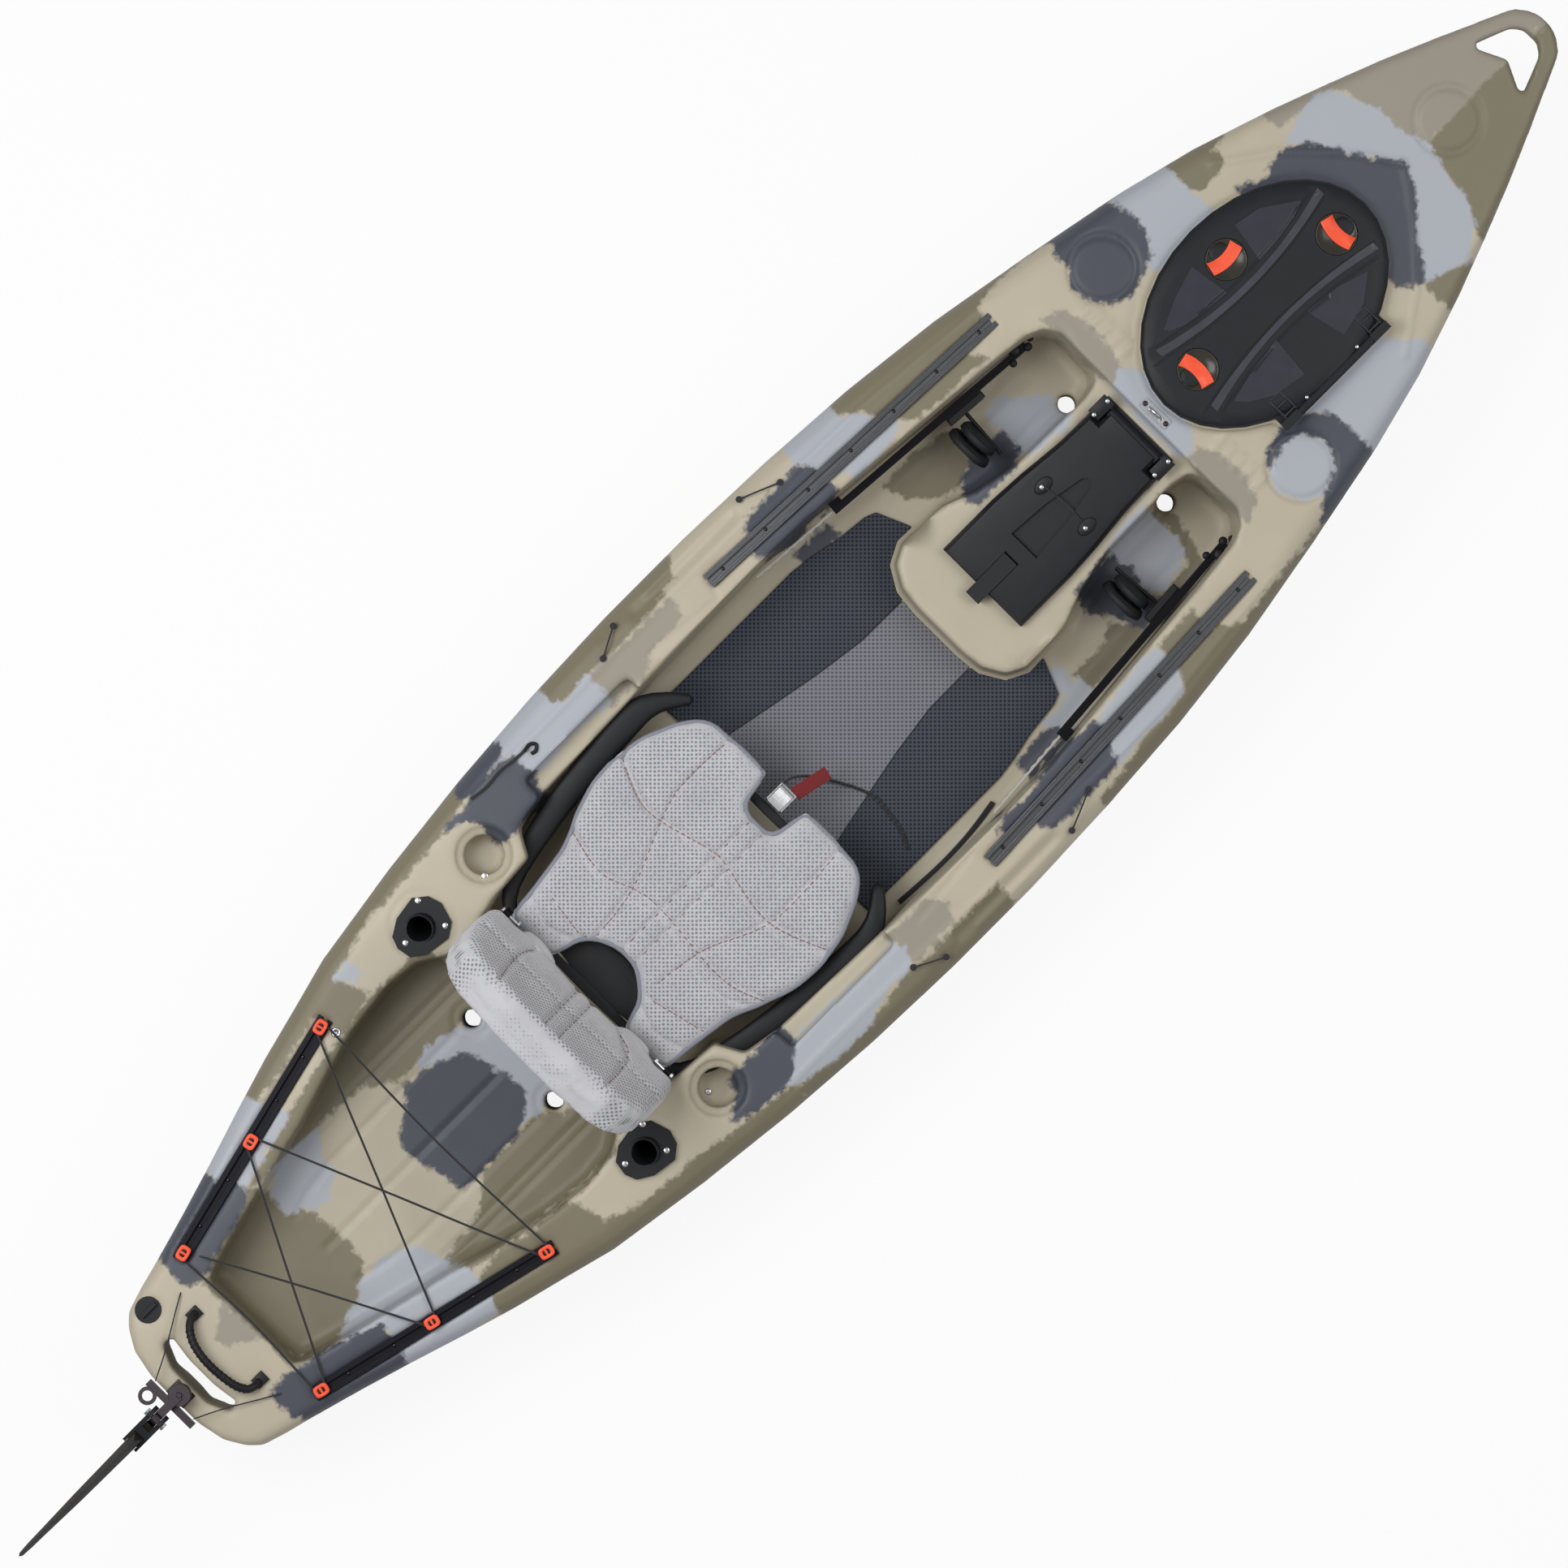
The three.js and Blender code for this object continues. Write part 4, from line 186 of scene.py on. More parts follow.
# several shapes in one mesh, each with its matrix or standing where it was made
def joinShapes(name, shapes):
    whole = bmesh.new()
    for shape in shapes:
        bm, matrix = shape if isinstance(shape, tuple) else (shape, Matrix.Identity(4))
        part = bpy.data.meshes.new("part")
        bm.transform(matrix)
        bm.to_mesh(part)
        bm.free()
        whole.from_mesh(part)
        bpy.data.meshes.remove(part)
    return meshFrom(whole, name)


def joinedObject(name, shapes, finish, body, smooth=True):
    return makeObject(name, joinShapes(name, shapes), finishes[finish], body, smooth)


def shift(x, y, z):
    return Matrix.Translation(vec(x, y, z))


def turn(degrees, axis):
    return Matrix.Rotation(math.radians(degrees), 4, axis)


# stands a shape on a place with one of its axes along a line
def aimed(place, along, axis="Z", up="Y"):
    return Matrix.Translation(place) @ along.to_track_quat(axis, up).to_matrix().to_4x4()


def smoothLine(points, perSpan=3):
    points = [Vector(p) for p in points]
    line = []
    for i, (b, c) in enumerate(zip(points, points[1:])):
        a, d = points[max(i - 1, 0)], points[min(i + 2, len(points) - 1)]
        for step in range(perSpan):
            t = step / perSpan
            bend = (2 * a - 5 * b + 4 * c - d) * t * t + (3 * b - a - 3 * c + d) * t ** 3
            line.append(0.5 * (2 * b + (c - a) * t + bend))
    return [*line, points[-1]]


def lineLength(points):
    return sum((b - a).length for a, b in zip(points, points[1:]))


def curveObject(name, points, radius, material, body, closed=False, resolution=3):
    data = bpy.data.curves.new(name, "CURVE")
    data.dimensions = "3D"
    data.bevel_depth = radius
    data.bevel_resolution = resolution
    data.use_fill_caps = True
    spline = data.splines.new("POLY")
    spline.points.add(len(points) - 1)
    for target, point in zip(spline.points, points):
        target.co = (*point, 1)
    spline.use_cyclic_u = closed
    spline.use_smooth = True
    data.materials.append(material)
    obj = bpy.data.objects.new(name, data)
    collection.objects.link(obj)
    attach(obj, body)
    return obj


# materials
def toLinear(hexColour):
    channels = [int(hexColour[i:i + 2], 16) / 255 for i in (1, 3, 5)]
    return (*[c / 12.92 if c <= 0.04045 else ((c + 0.055) / 1.055) ** 2.4 for c in channels], 1)


def addNode(material, kind, settings=None, links=None):
    node = material.node_tree.nodes.new(kind)
    for name, value in (settings or {}).items():
        if isinstance(name, int) or name in node.inputs:
            node.inputs[name].default_value = value
        else:
            setattr(node, name, value)
    for name, socket in (links or {}).items():
        material.node_tree.links.new(socket, node.inputs[name])
    return node


def newMaterial(name):
    material = bpy.data.materials.new(name)
    material.use_nodes = True
    material.node_tree.nodes.clear()
    return material


# colour between two hex values by a factor socket
def mixColours(material, factor, first, second):
    settings = {"data_type": "RGBA"}
    links = {0: factor}
    for index, colour in ((6, first), (7, second)):
        if isinstance(colour, str):
            settings[index] = toLinear(colour)
        else:
            links[index] = colour
    return addNode(material, "ShaderNodeMix", settings, links).outputs[2]


def objectCoords(m):
    return addNode(m, "ShaderNodeTexCoord").outputs["Object"]


def noise(m, coords, scale, detail, **more):
    settings = {"Scale": scale, "Detail": detail, **more}
    return addNode(m, "ShaderNodeTexNoise", settings, {"Vector": coords}).outputs["Fac"]


# distance from the cells' middles, with the cells turned and stretched by the mapping's settings
def cells(m, coords, randomness, rotation, scale):
    mapped = addNode(m, "ShaderNodeMapping", {"Rotation": rotation, "Scale": scale}, {"Vector": coords})
    settings = {"Randomness": randomness, "Scale": 1.0}
    return addNode(m, "ShaderNodeTexVoronoi", settings, {"Vector": mapped.outputs[0]}).outputs["Distance"]


def remap(m, value, fromRange=(0, 1), toRange=(0, 1), **more):
    settings = {"From Min": fromRange[0], "From Max": fromRange[1], "To Min": toRange[0], "To Max": toRange[1],
        **more}
    return addNode(m, "ShaderNodeMapRange", settings, {"Value": value}).outputs["Result"]


def math2(m, operation, first, second):
    settings, links = {"operation": operation}, {0: first}
    (settings if isinstance(second, (int, float)) else links)[1] = second
    return addNode(m, "ShaderNodeMath", settings, links).outputs[0]


def relief(m, height, strength, distance, under=None, **more):
    links = {"Height": height, "Normal": under} if under else {"Height": height}
    return addNode(m, "ShaderNodeBump", {"Strength": strength, "Distance": distance, **more}, links).outputs[0]


def surface(m, settings, colour, normal, roughness=None):
    links = {"Base Color": colour, "Normal": normal}
    if roughness:
        links["Roughness"] = roughness
    shader = addNode(m, "ShaderNodeBsdfPrincipled", settings, links)
    addNode(m, "ShaderNodeOutputMaterial", links={"Surface": shader.outputs[0]})
    return m


# rotomoulded polyethylene: powder melted in a hot mould gives soft, satin colour patches with torn edges
hullFinish = {
    "tan": "#b3ab98",
    "tanCloud": "#a89f8b",
    "olive": "#736c58",
    "khaki": "#8d877a",
    "blue": "#a0a4ac",
    "slate": "#40434e",
    "tearSize": 0.016,  # metres across a torn lobe at a patch's edge
    "tearReach": 0.015,
    "blend": 0.0055,
    "grain": 0.0016,
    "roughness": (0.42, 0.58),
}


def rotomouldedPolyethylene():
    m = newMaterial("rotomoulded polyethylene")
    coords = objectCoords(m)
    reach, blend = hullFinish["tearReach"] / 2, hullFinish["blend"]
    tear = noise(m, coords, 1 / hullFinish["tearSize"], 3.0, Roughness=0.55)
    spread = remap(m, tear, (0.25, 0.75), (-reach, reach), clamp=False)
    cloud = noise(m, coords, 9.0, 3.0)
    colour = mixColours(m, cloud, hullFinish["tan"], hullFinish["tanCloud"])
    for name in ("olive", "khaki", "blue", "slate"):
        patch = addNode(m, "ShaderNodeAttribute", {"attribute_name": name + "Patch"}).outputs["Fac"]
        edge = remap(m, math2(m, "ADD", patch, spread), (-blend, blend), interpolation_type="SMOOTHSTEP")
        colour = mixColours(m, edge, colour, hullFinish[name])
    ripple = relief(m, noise(m, coords, 22.0, 1.0), 0.25, 0.0015)
    grain = relief(m, noise(m, coords, 1 / hullFinish["grain"], 2.0), 0.35, 0.0003, under=ripple)
    rough = remap(m, cloud, toRange=hullFinish["roughness"])
    return surface(m, {"IOR": 1.51, "Specular IOR Level": 0.4}, colour, grain, rough)


# moulded plastics: a fine sand-blast grain from the tool, with faint clouding
def mouldedPlastic(name, colour, darker, roughness, grain=0.0012, strength=0.3, ior=1.52):
    m = newMaterial(name)
    coords = objectCoords(m)
    cloud = noise(m, coords, 30.0, 4.0)
    pits = relief(m, noise(m, coords, 1 / grain, 2.0), strength, 0.0003)
    rough = remap(m, cloud, toRange=(roughness - 0.06, roughness + 0.06))
    return surface(m, {"IOR": ior, "Specular IOR Level": 0.24}, mixColours(m, cloud, darker, colour), pits, rough)


# drawn or brushed metals: fine scratches along one direction
def brushedMetal(name, colour, darker, roughness, stretch, lineWidth=0.0008):
    m = newMaterial(name)
    scale = [1 / lineWidth if axis else 8.0 for axis in stretch]
    drawn = addNode(m, "ShaderNodeMapping", {"Scale": scale}, {"Vector": objectCoords(m)})
    lines = noise(m, drawn.outputs[0], 1.0, 3.0)
    scratches = relief(m, lines, 0.2, 0.0002)
    rough = remap(m, lines, toRange=(roughness - 0.08, roughness + 0.08))
    return surface(m, {"Metallic": 1.0}, mixColours(m, lines, darker, colour), scratches, rough)


# knitted spacer mesh: open holes in a pale face over darker foam; the real 5 mm pitch is drawn at 7.5 mm so that it
# shows, and it is laid on by the way the cloth faces
def spacerMesh(name, face, worn, hole, pitch=0.0075):
    m = newMaterial(name)
    place = addNode(m, "ShaderNodeTexCoord")
    coords = place.outputs["Object"]
    facing = addNode(m, "ShaderNodeSeparateXYZ", links={"Vector": place.outputs["Normal"]})
    steep = math2(m, "GREATER_THAN", math2(m, "ABSOLUTE", facing.outputs["X"], 0.0), 0.7)
    axes = addNode(m, "ShaderNodeSeparateXYZ", links={"Vector": coords}).outputs
    upright = addNode(m, "ShaderNodeCombineXYZ", links={"X": axes["Z"], "Y": axes["Y"], "Z": axes["X"]})
    laid = addNode(m, "ShaderNodeMix", {"data_type": "VECTOR"}, {0: steep, 4: coords, 5: upright.outputs[0]})
    knots = cells(m, laid.outputs[1], 0.12, (0, 0, math.radians(45)), (1 / pitch, 1 / pitch, 0.2 / pitch))
    holes = remap(m, knots, (0.2, 0.42))
    knit = mixColours(m, noise(m, coords, 14.0, 4.0), face, worn)
    settings = {"Roughness": 0.95, "Sheen Weight": 0.25, "Sheen Roughness": 0.5, "IOR": 1.5}
    return surface(m, settings, mixColours(m, holes, hole, knit), relief(m, holes, 0.7, 0.0012))


# woven polyester tape and braided cord: slanting yarns about a millimetre wide, drawn at 1.6 mm so that they show
def wovenPolyester(name, colour, darker, pitch=0.0016):
    m = newMaterial(name)
    yarn = cells(m, objectCoords(m), 0.2, (0.4, 0.5, math.radians(45)), (1 / pitch,) * 3)
    bump = relief(m, yarn, 0.6, 0.0006, invert=True)
    return surface(m, {"Roughness": 0.85, "Sheen Weight": 0.2, "IOR": 1.5}, mixColours(m, yarn, colour, darker),
        bump)


# closed-cell EVA foam pressed with a grid of dots for grip
def dottedFoam(name, colour, dot, pitch=0.0075):
    m = newMaterial(name)
    grid = cells(m, objectCoords(m), 0.0, (0, 0, math.radians(45)), (1 / pitch, 1 / pitch, 0))
    press = remap(m, grid, (0.28, 0.38))
    tone = mixColours(m, press, dot, colour)
    return surface(m, {"Roughness": 0.9, "IOR": 1.48}, tone, relief(m, press, 0.8, 0.001))


finishes = {
    "polyethylene": rotomouldedPolyethylene(),
    "nylon": mouldedPlastic("glass-filled nylon, moulded", "#1b1c1f", "#131416", 0.5),
    "lidPlastic": mouldedPlastic("polypropylene, moulded", "#1d1e24", "#15161a", 0.5),
    "panelPlastic": mouldedPlastic("polypropylene, ribbed panel", "#30323b", "#272931", 0.4),
    # the strips' lighter grey is painted highlight; their low roughness is the real gloss
    "stripPlastic": mouldedPlastic("polypropylene, glossy strip, painted highlight", "#43454d", "#34353a", 0.3),
    "orangeNylon": mouldedPlastic("dyed nylon, moulded", "#f2603f", "#e4492b", 0.4, strength=0.15),
    "smokedPlastic": mouldedPlastic("smoked polycarbonate, moulded", "#3b3830", "#2a2824", 0.25, strength=0.1,
        ior=1.58),
    "acetal": mouldedPlastic("acetal, moulded", "#bdbbb2", "#aeaca3", 0.5),
    "bladeNylon": mouldedPlastic("nylon, moulded, weathered", "#1d1613", "#120e0c", 0.7),
    "wheelRubber": mouldedPlastic("polyurethane, cast", "#26272a", "#1d1e20", 0.65),
    "anodised": brushedMetal("anodised aluminium, extruded", "#26262a", "#18181b", 0.42, (0, 1, 1)),
    # the front tracks are set a lighter grey than the rear tracks' anodised finish
    "trackGrey": brushedMetal("anodised aluminium, lighter grey", "#68696b", "#4f5054", 0.4, (0, 1, 1)),
    "anodisedBar": brushedMetal("anodised aluminium, drawn", "#222227", "#17171a", 0.45, (1, 0, 1)),
    "blackSteel": brushedMetal("stainless steel, blackened", "#4d474a", "#2c282b", 0.36, (1, 0, 1)),
    "stainless": brushedMetal("stainless steel, brushed", "#d3d4d6", "#b4b5b8", 0.26, (1, 0, 1)),
    "mesh": spacerMesh("spacer mesh, knitted", "#c2c2c5", "#a4a4a9", "#77777e"),
    "binding": wovenPolyester("polyester binding, woven", "#8b8d99", "#6c6e79"),
    "thread": wovenPolyester("polyester thread, spun", "#93685f", "#75504a", 0.0008),
    "webbing": wovenPolyester("polyester webbing, woven", "#7c171c", "#5e1014"),
    "blackWebbing": wovenPolyester("polyester webbing, black", "#1e1e21", "#131315", 0.002),
    "braid": wovenPolyester("polyester braid over rubber", "#2a2a2e", "#18181b"),
    "darkFoam": dottedFoam("EVA foam, dark, pressed", "#404651", "#1b1e25"),
    "greyFoam": dottedFoam("EVA foam, grey, pressed", "#7b7c84", "#54555c"),
}
print("finishes made:", len(finishes))

# strap tail: a flat cord end from the buckle down to the floor pad and out to starboard
strapTail = {
    "route": [(-181.975, 6, 256.3), (-171.975, 4, 246), (-159.975, -2, 225), (-142.975, -18, 175),
              (-123.975, -45, 136), (-109.975, -70, 124.3), (-96.975, -95, 121.3), (-84.975, -130, 121.3),
              (-87.975, -175, 121.3), (-94.975, -210, 121.3), (-109.975, -240, 121.3)],
    "diameter": 0.006,
}
tailPoints = smoothLine([vec(*p) for p in strapTail["route"]], 3)
tail = curveObject("strapTail", tailPoints, strapTail["diameter"] / 2, finishes["braid"], "seat")
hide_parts("strap_tail")

# hull skin: the solid's outside, remeshed so that every moulded edge is rounded
hull = {
    "voxel": 0.006,
    "smoothing": 5,
    "hatch": (1036.05, 214, 145),  # the opening: place along, half length, half width
    "bore": (-830.025, 286.08, 305.557),  # a place on the axis of the port rod holder's bore, which leans aft
    "boreLean": -22,
    "boreRadius": 27.3,
    "cableHoles": (-1603, 129.183, 4),
    "railHoles": (232.05, 200, 4),
    "drain": (-1668, 147.957, 13.3),
    "axle": (-1590, 78, 5.3),
    "liningGap": 0.008,  # the hollow's own skin is set back so that no moulded groove reaches it
    # from x to x, half width and below z: the hollow's sharp front edge meets the outside here
    "bowEdge": (1584, 1660, 30, 260),
}


# distance in mm from the axis of the rod holder's bore on the same side
def fromBore(p):
    lean = math.radians(hull["boreLean"])
    axis = Vector((math.sin(lean), 0, math.cos(lean)))
    x, y, z = hull["bore"]
    away = p - Vector((x, math.copysign(y, p.y), z))
    return (away - axis * away.dot(axis)).length


# faces on the walls of the holes, where the outside meets the hollow
def isHoleWall(face):
    points = [v.co / mm for v in face.verts]

    def allNear(distance, target, slack=0.6):
        return all(abs(distance(p) - target) < slack for p in points)

    centre, halfLength, halfWidth = hull["hatch"]
    if all(p.z > 250 for p in points):
        if allNear(lambda p: math.hypot((p.x - centre) / halfLength, p.y / halfWidth), 1, 0.012):
            return True
    if allNear(fromBore, hull["boreRadius"], 1.2):
        return True
    x, y, radius = hull["cableHoles"]
    if allNear(lambda p: math.hypot(p.x - x, abs(p.y) - y), radius):
        return True
    x, z, radius = hull["railHoles"]
    if allNear(lambda p: math.hypot(p.x - x, p.z - z), radius):
        return True
    x, y, radius = hull["drain"]
    if allNear(lambda p: math.hypot(p.x - x, p.y - y), radius):
        return True
    x, z, radius = hull["axle"]
    return allNear(lambda p: math.hypot(p.x - x, p.z - z), radius) and all(abs(p.y) < 40 for p in points)


def atBowEdge(edge):
    back, front, halfWidth, top = hull["bowEdge"]
    return all(back < v.co.x / mm < front and abs(v.co.y) < halfWidth * mm and v.co.z < top * mm
        for v in edge.verts)


def connectedParts(bm):
    left = set(bm.faces)
    parts = []
    while left:
        stack = [left.pop()]
        part = []
        while stack:
            face = stack.pop()
            part.append(face)
            for edge in face.edges:
                if atBowEdge(edge):
                    continue
                for other in edge.link_faces:
                    if other in left:
                        left.remove(other)
                        stack.append(other)
        parts.append(part)
    return sorted(parts, key=len, reverse=True)


def lengthOf(part):
    xs = [v.co.x for face in part for v in face.verts]
    return max(xs) - min(xs)


shell = weldedCopy("hull")
bmesh.ops.delete(shell, geom=[f for f in shell.faces if isHoleWall(f)], context="FACES")
skins = sorted(connectedParts(shell), key=lengthOf, reverse=True)
print("hull skins:", [(len(part), round(lengthOf(part), 3)) for part in skins[:4]])
shell.faces.index_update()
inner = shell.copy()
outerIndex = {f.index for f in skins[0]}
bmesh.ops.delete(inner, geom=[f for f in inner.faces if f.index in outerIndex], context="FACES")
bmesh.ops.delete(shell, geom=[f for f in shell.faces if f.index not in outerIndex], context="FACES")
boundary = [e for e in shell.edges if e.is_boundary]
bmesh.ops.holes_fill(shell, edges=boundary, sides=0)
print("outer faces", len(shell.faces), "still open", sum(e.is_boundary for e in shell.edges))
skinMesh = meshFrom(shell, "hullSkin")
skin = makeObject("hullSkin", skinMesh, finishes["polyethylene"], "hull")
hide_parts("hull")
addModifier(skin, "REMESH", mode="VOXEL", voxel_size=hull["voxel"], use_smooth_shade=True)
addModifier(skin, "SMOOTH", factor=0.5, iterations=hull["smoothing"])
applyModifiers(skin)
print("hull skin vertices:", len(skin.data.vertices))


def distanceToLine(points, line):
    best = np.full(len(points), 1e9)
    for (ax, ay), (bx, by) in zip(line, line[1:]):
        start, along = np.array((ax, ay)) * mm, np.array((bx - ax, by - ay)) * mm
        t = np.clip(((points - start) @ along) / max(along @ along, 1e-12), 0, 1)
        best = np.minimum(best, np.hypot(*(points - start - t[:, None] * along).T))
    return best


def ringLine(x, y, radius, count=28):
    return [(x + radius * math.cos(a), y + radius * math.sin(a)) for a in np.linspace(0, 2 * math.pi, count)]


# moulded lines and ribs: path in mm, half width and rise in mm, and the heights between which it is cut
tankFloor, footWell, washboard, deck = (120, 210), (90, 140), (200, 330), (250, 400)
toeRibs = ((793, 120), (793, 145), (793, 170), (793, 195), (797, 220))
onBothSides = [
    *[([(-1230, y), (-850, y)], 5, -4, tankFloor) for y in (180, 162)],
    ([(-1370, 80), (-1330, 93), (-1250, 105), (-925, 107)], 5, -4, tankFloor),
    (ringLine(-889, 106, 32), 4, -3, (100, 210)),
    *[([(320, y), (655, y - 24)], 3, -2.5, footWell) for y in (158, 167, 230, 239)],
    *[([(x, y), (x + 24, y - 2)], 8, 5, deck) for x, y in toeRibs],
    ([(1150, 245), (1250, 175), (1330, 90), (1392, 0)], 6, 5, (280, 400)),
    ([(-155, 412), (90, 412)], 12, -9, washboard),
    ([(-230, 425), (-130, 425)], 8, -4, washboard),
    ([(-190, 340), (-30, 325), (-18, 372)], 4, -3, washboard),
    ([(-640, 388), (-460, 386), (-90, 392), (-20, 392), (400, 385), (700, 356)], 5, 3, (200, 360)),
    (ringLine(878, 253, 60), 6, -7, deck),
    (ringLine(-823, 286, 61), 3, -2, deck),
]
mouldings = [([(-1370, 0), (-925, 0)], 5, -4, tankFloor), (ringLine(1502, 0, 60), 6, -6, (280, 420))]
for side in (1, -1):
    mouldings += [([(x, y * side) for x, y in line], *rest) for line, *rest in onBothSides]

places = positionsOf(skin.data)
normals = positionsOf(skin.data, "vertices", "normal")
for line, halfWidth, rise, (low, high) in mouldings:
    near = (places[:, 2] > low * mm) & (places[:, 2] < high * mm) & (normals[:, 2] > 0.6)
    distance = distanceToLine(places[near, :2], line) / (halfWidth * mm)
    places[near, 2] += rise * mm * np.exp(-distance ** 2)
setPositions(skin.data, places)
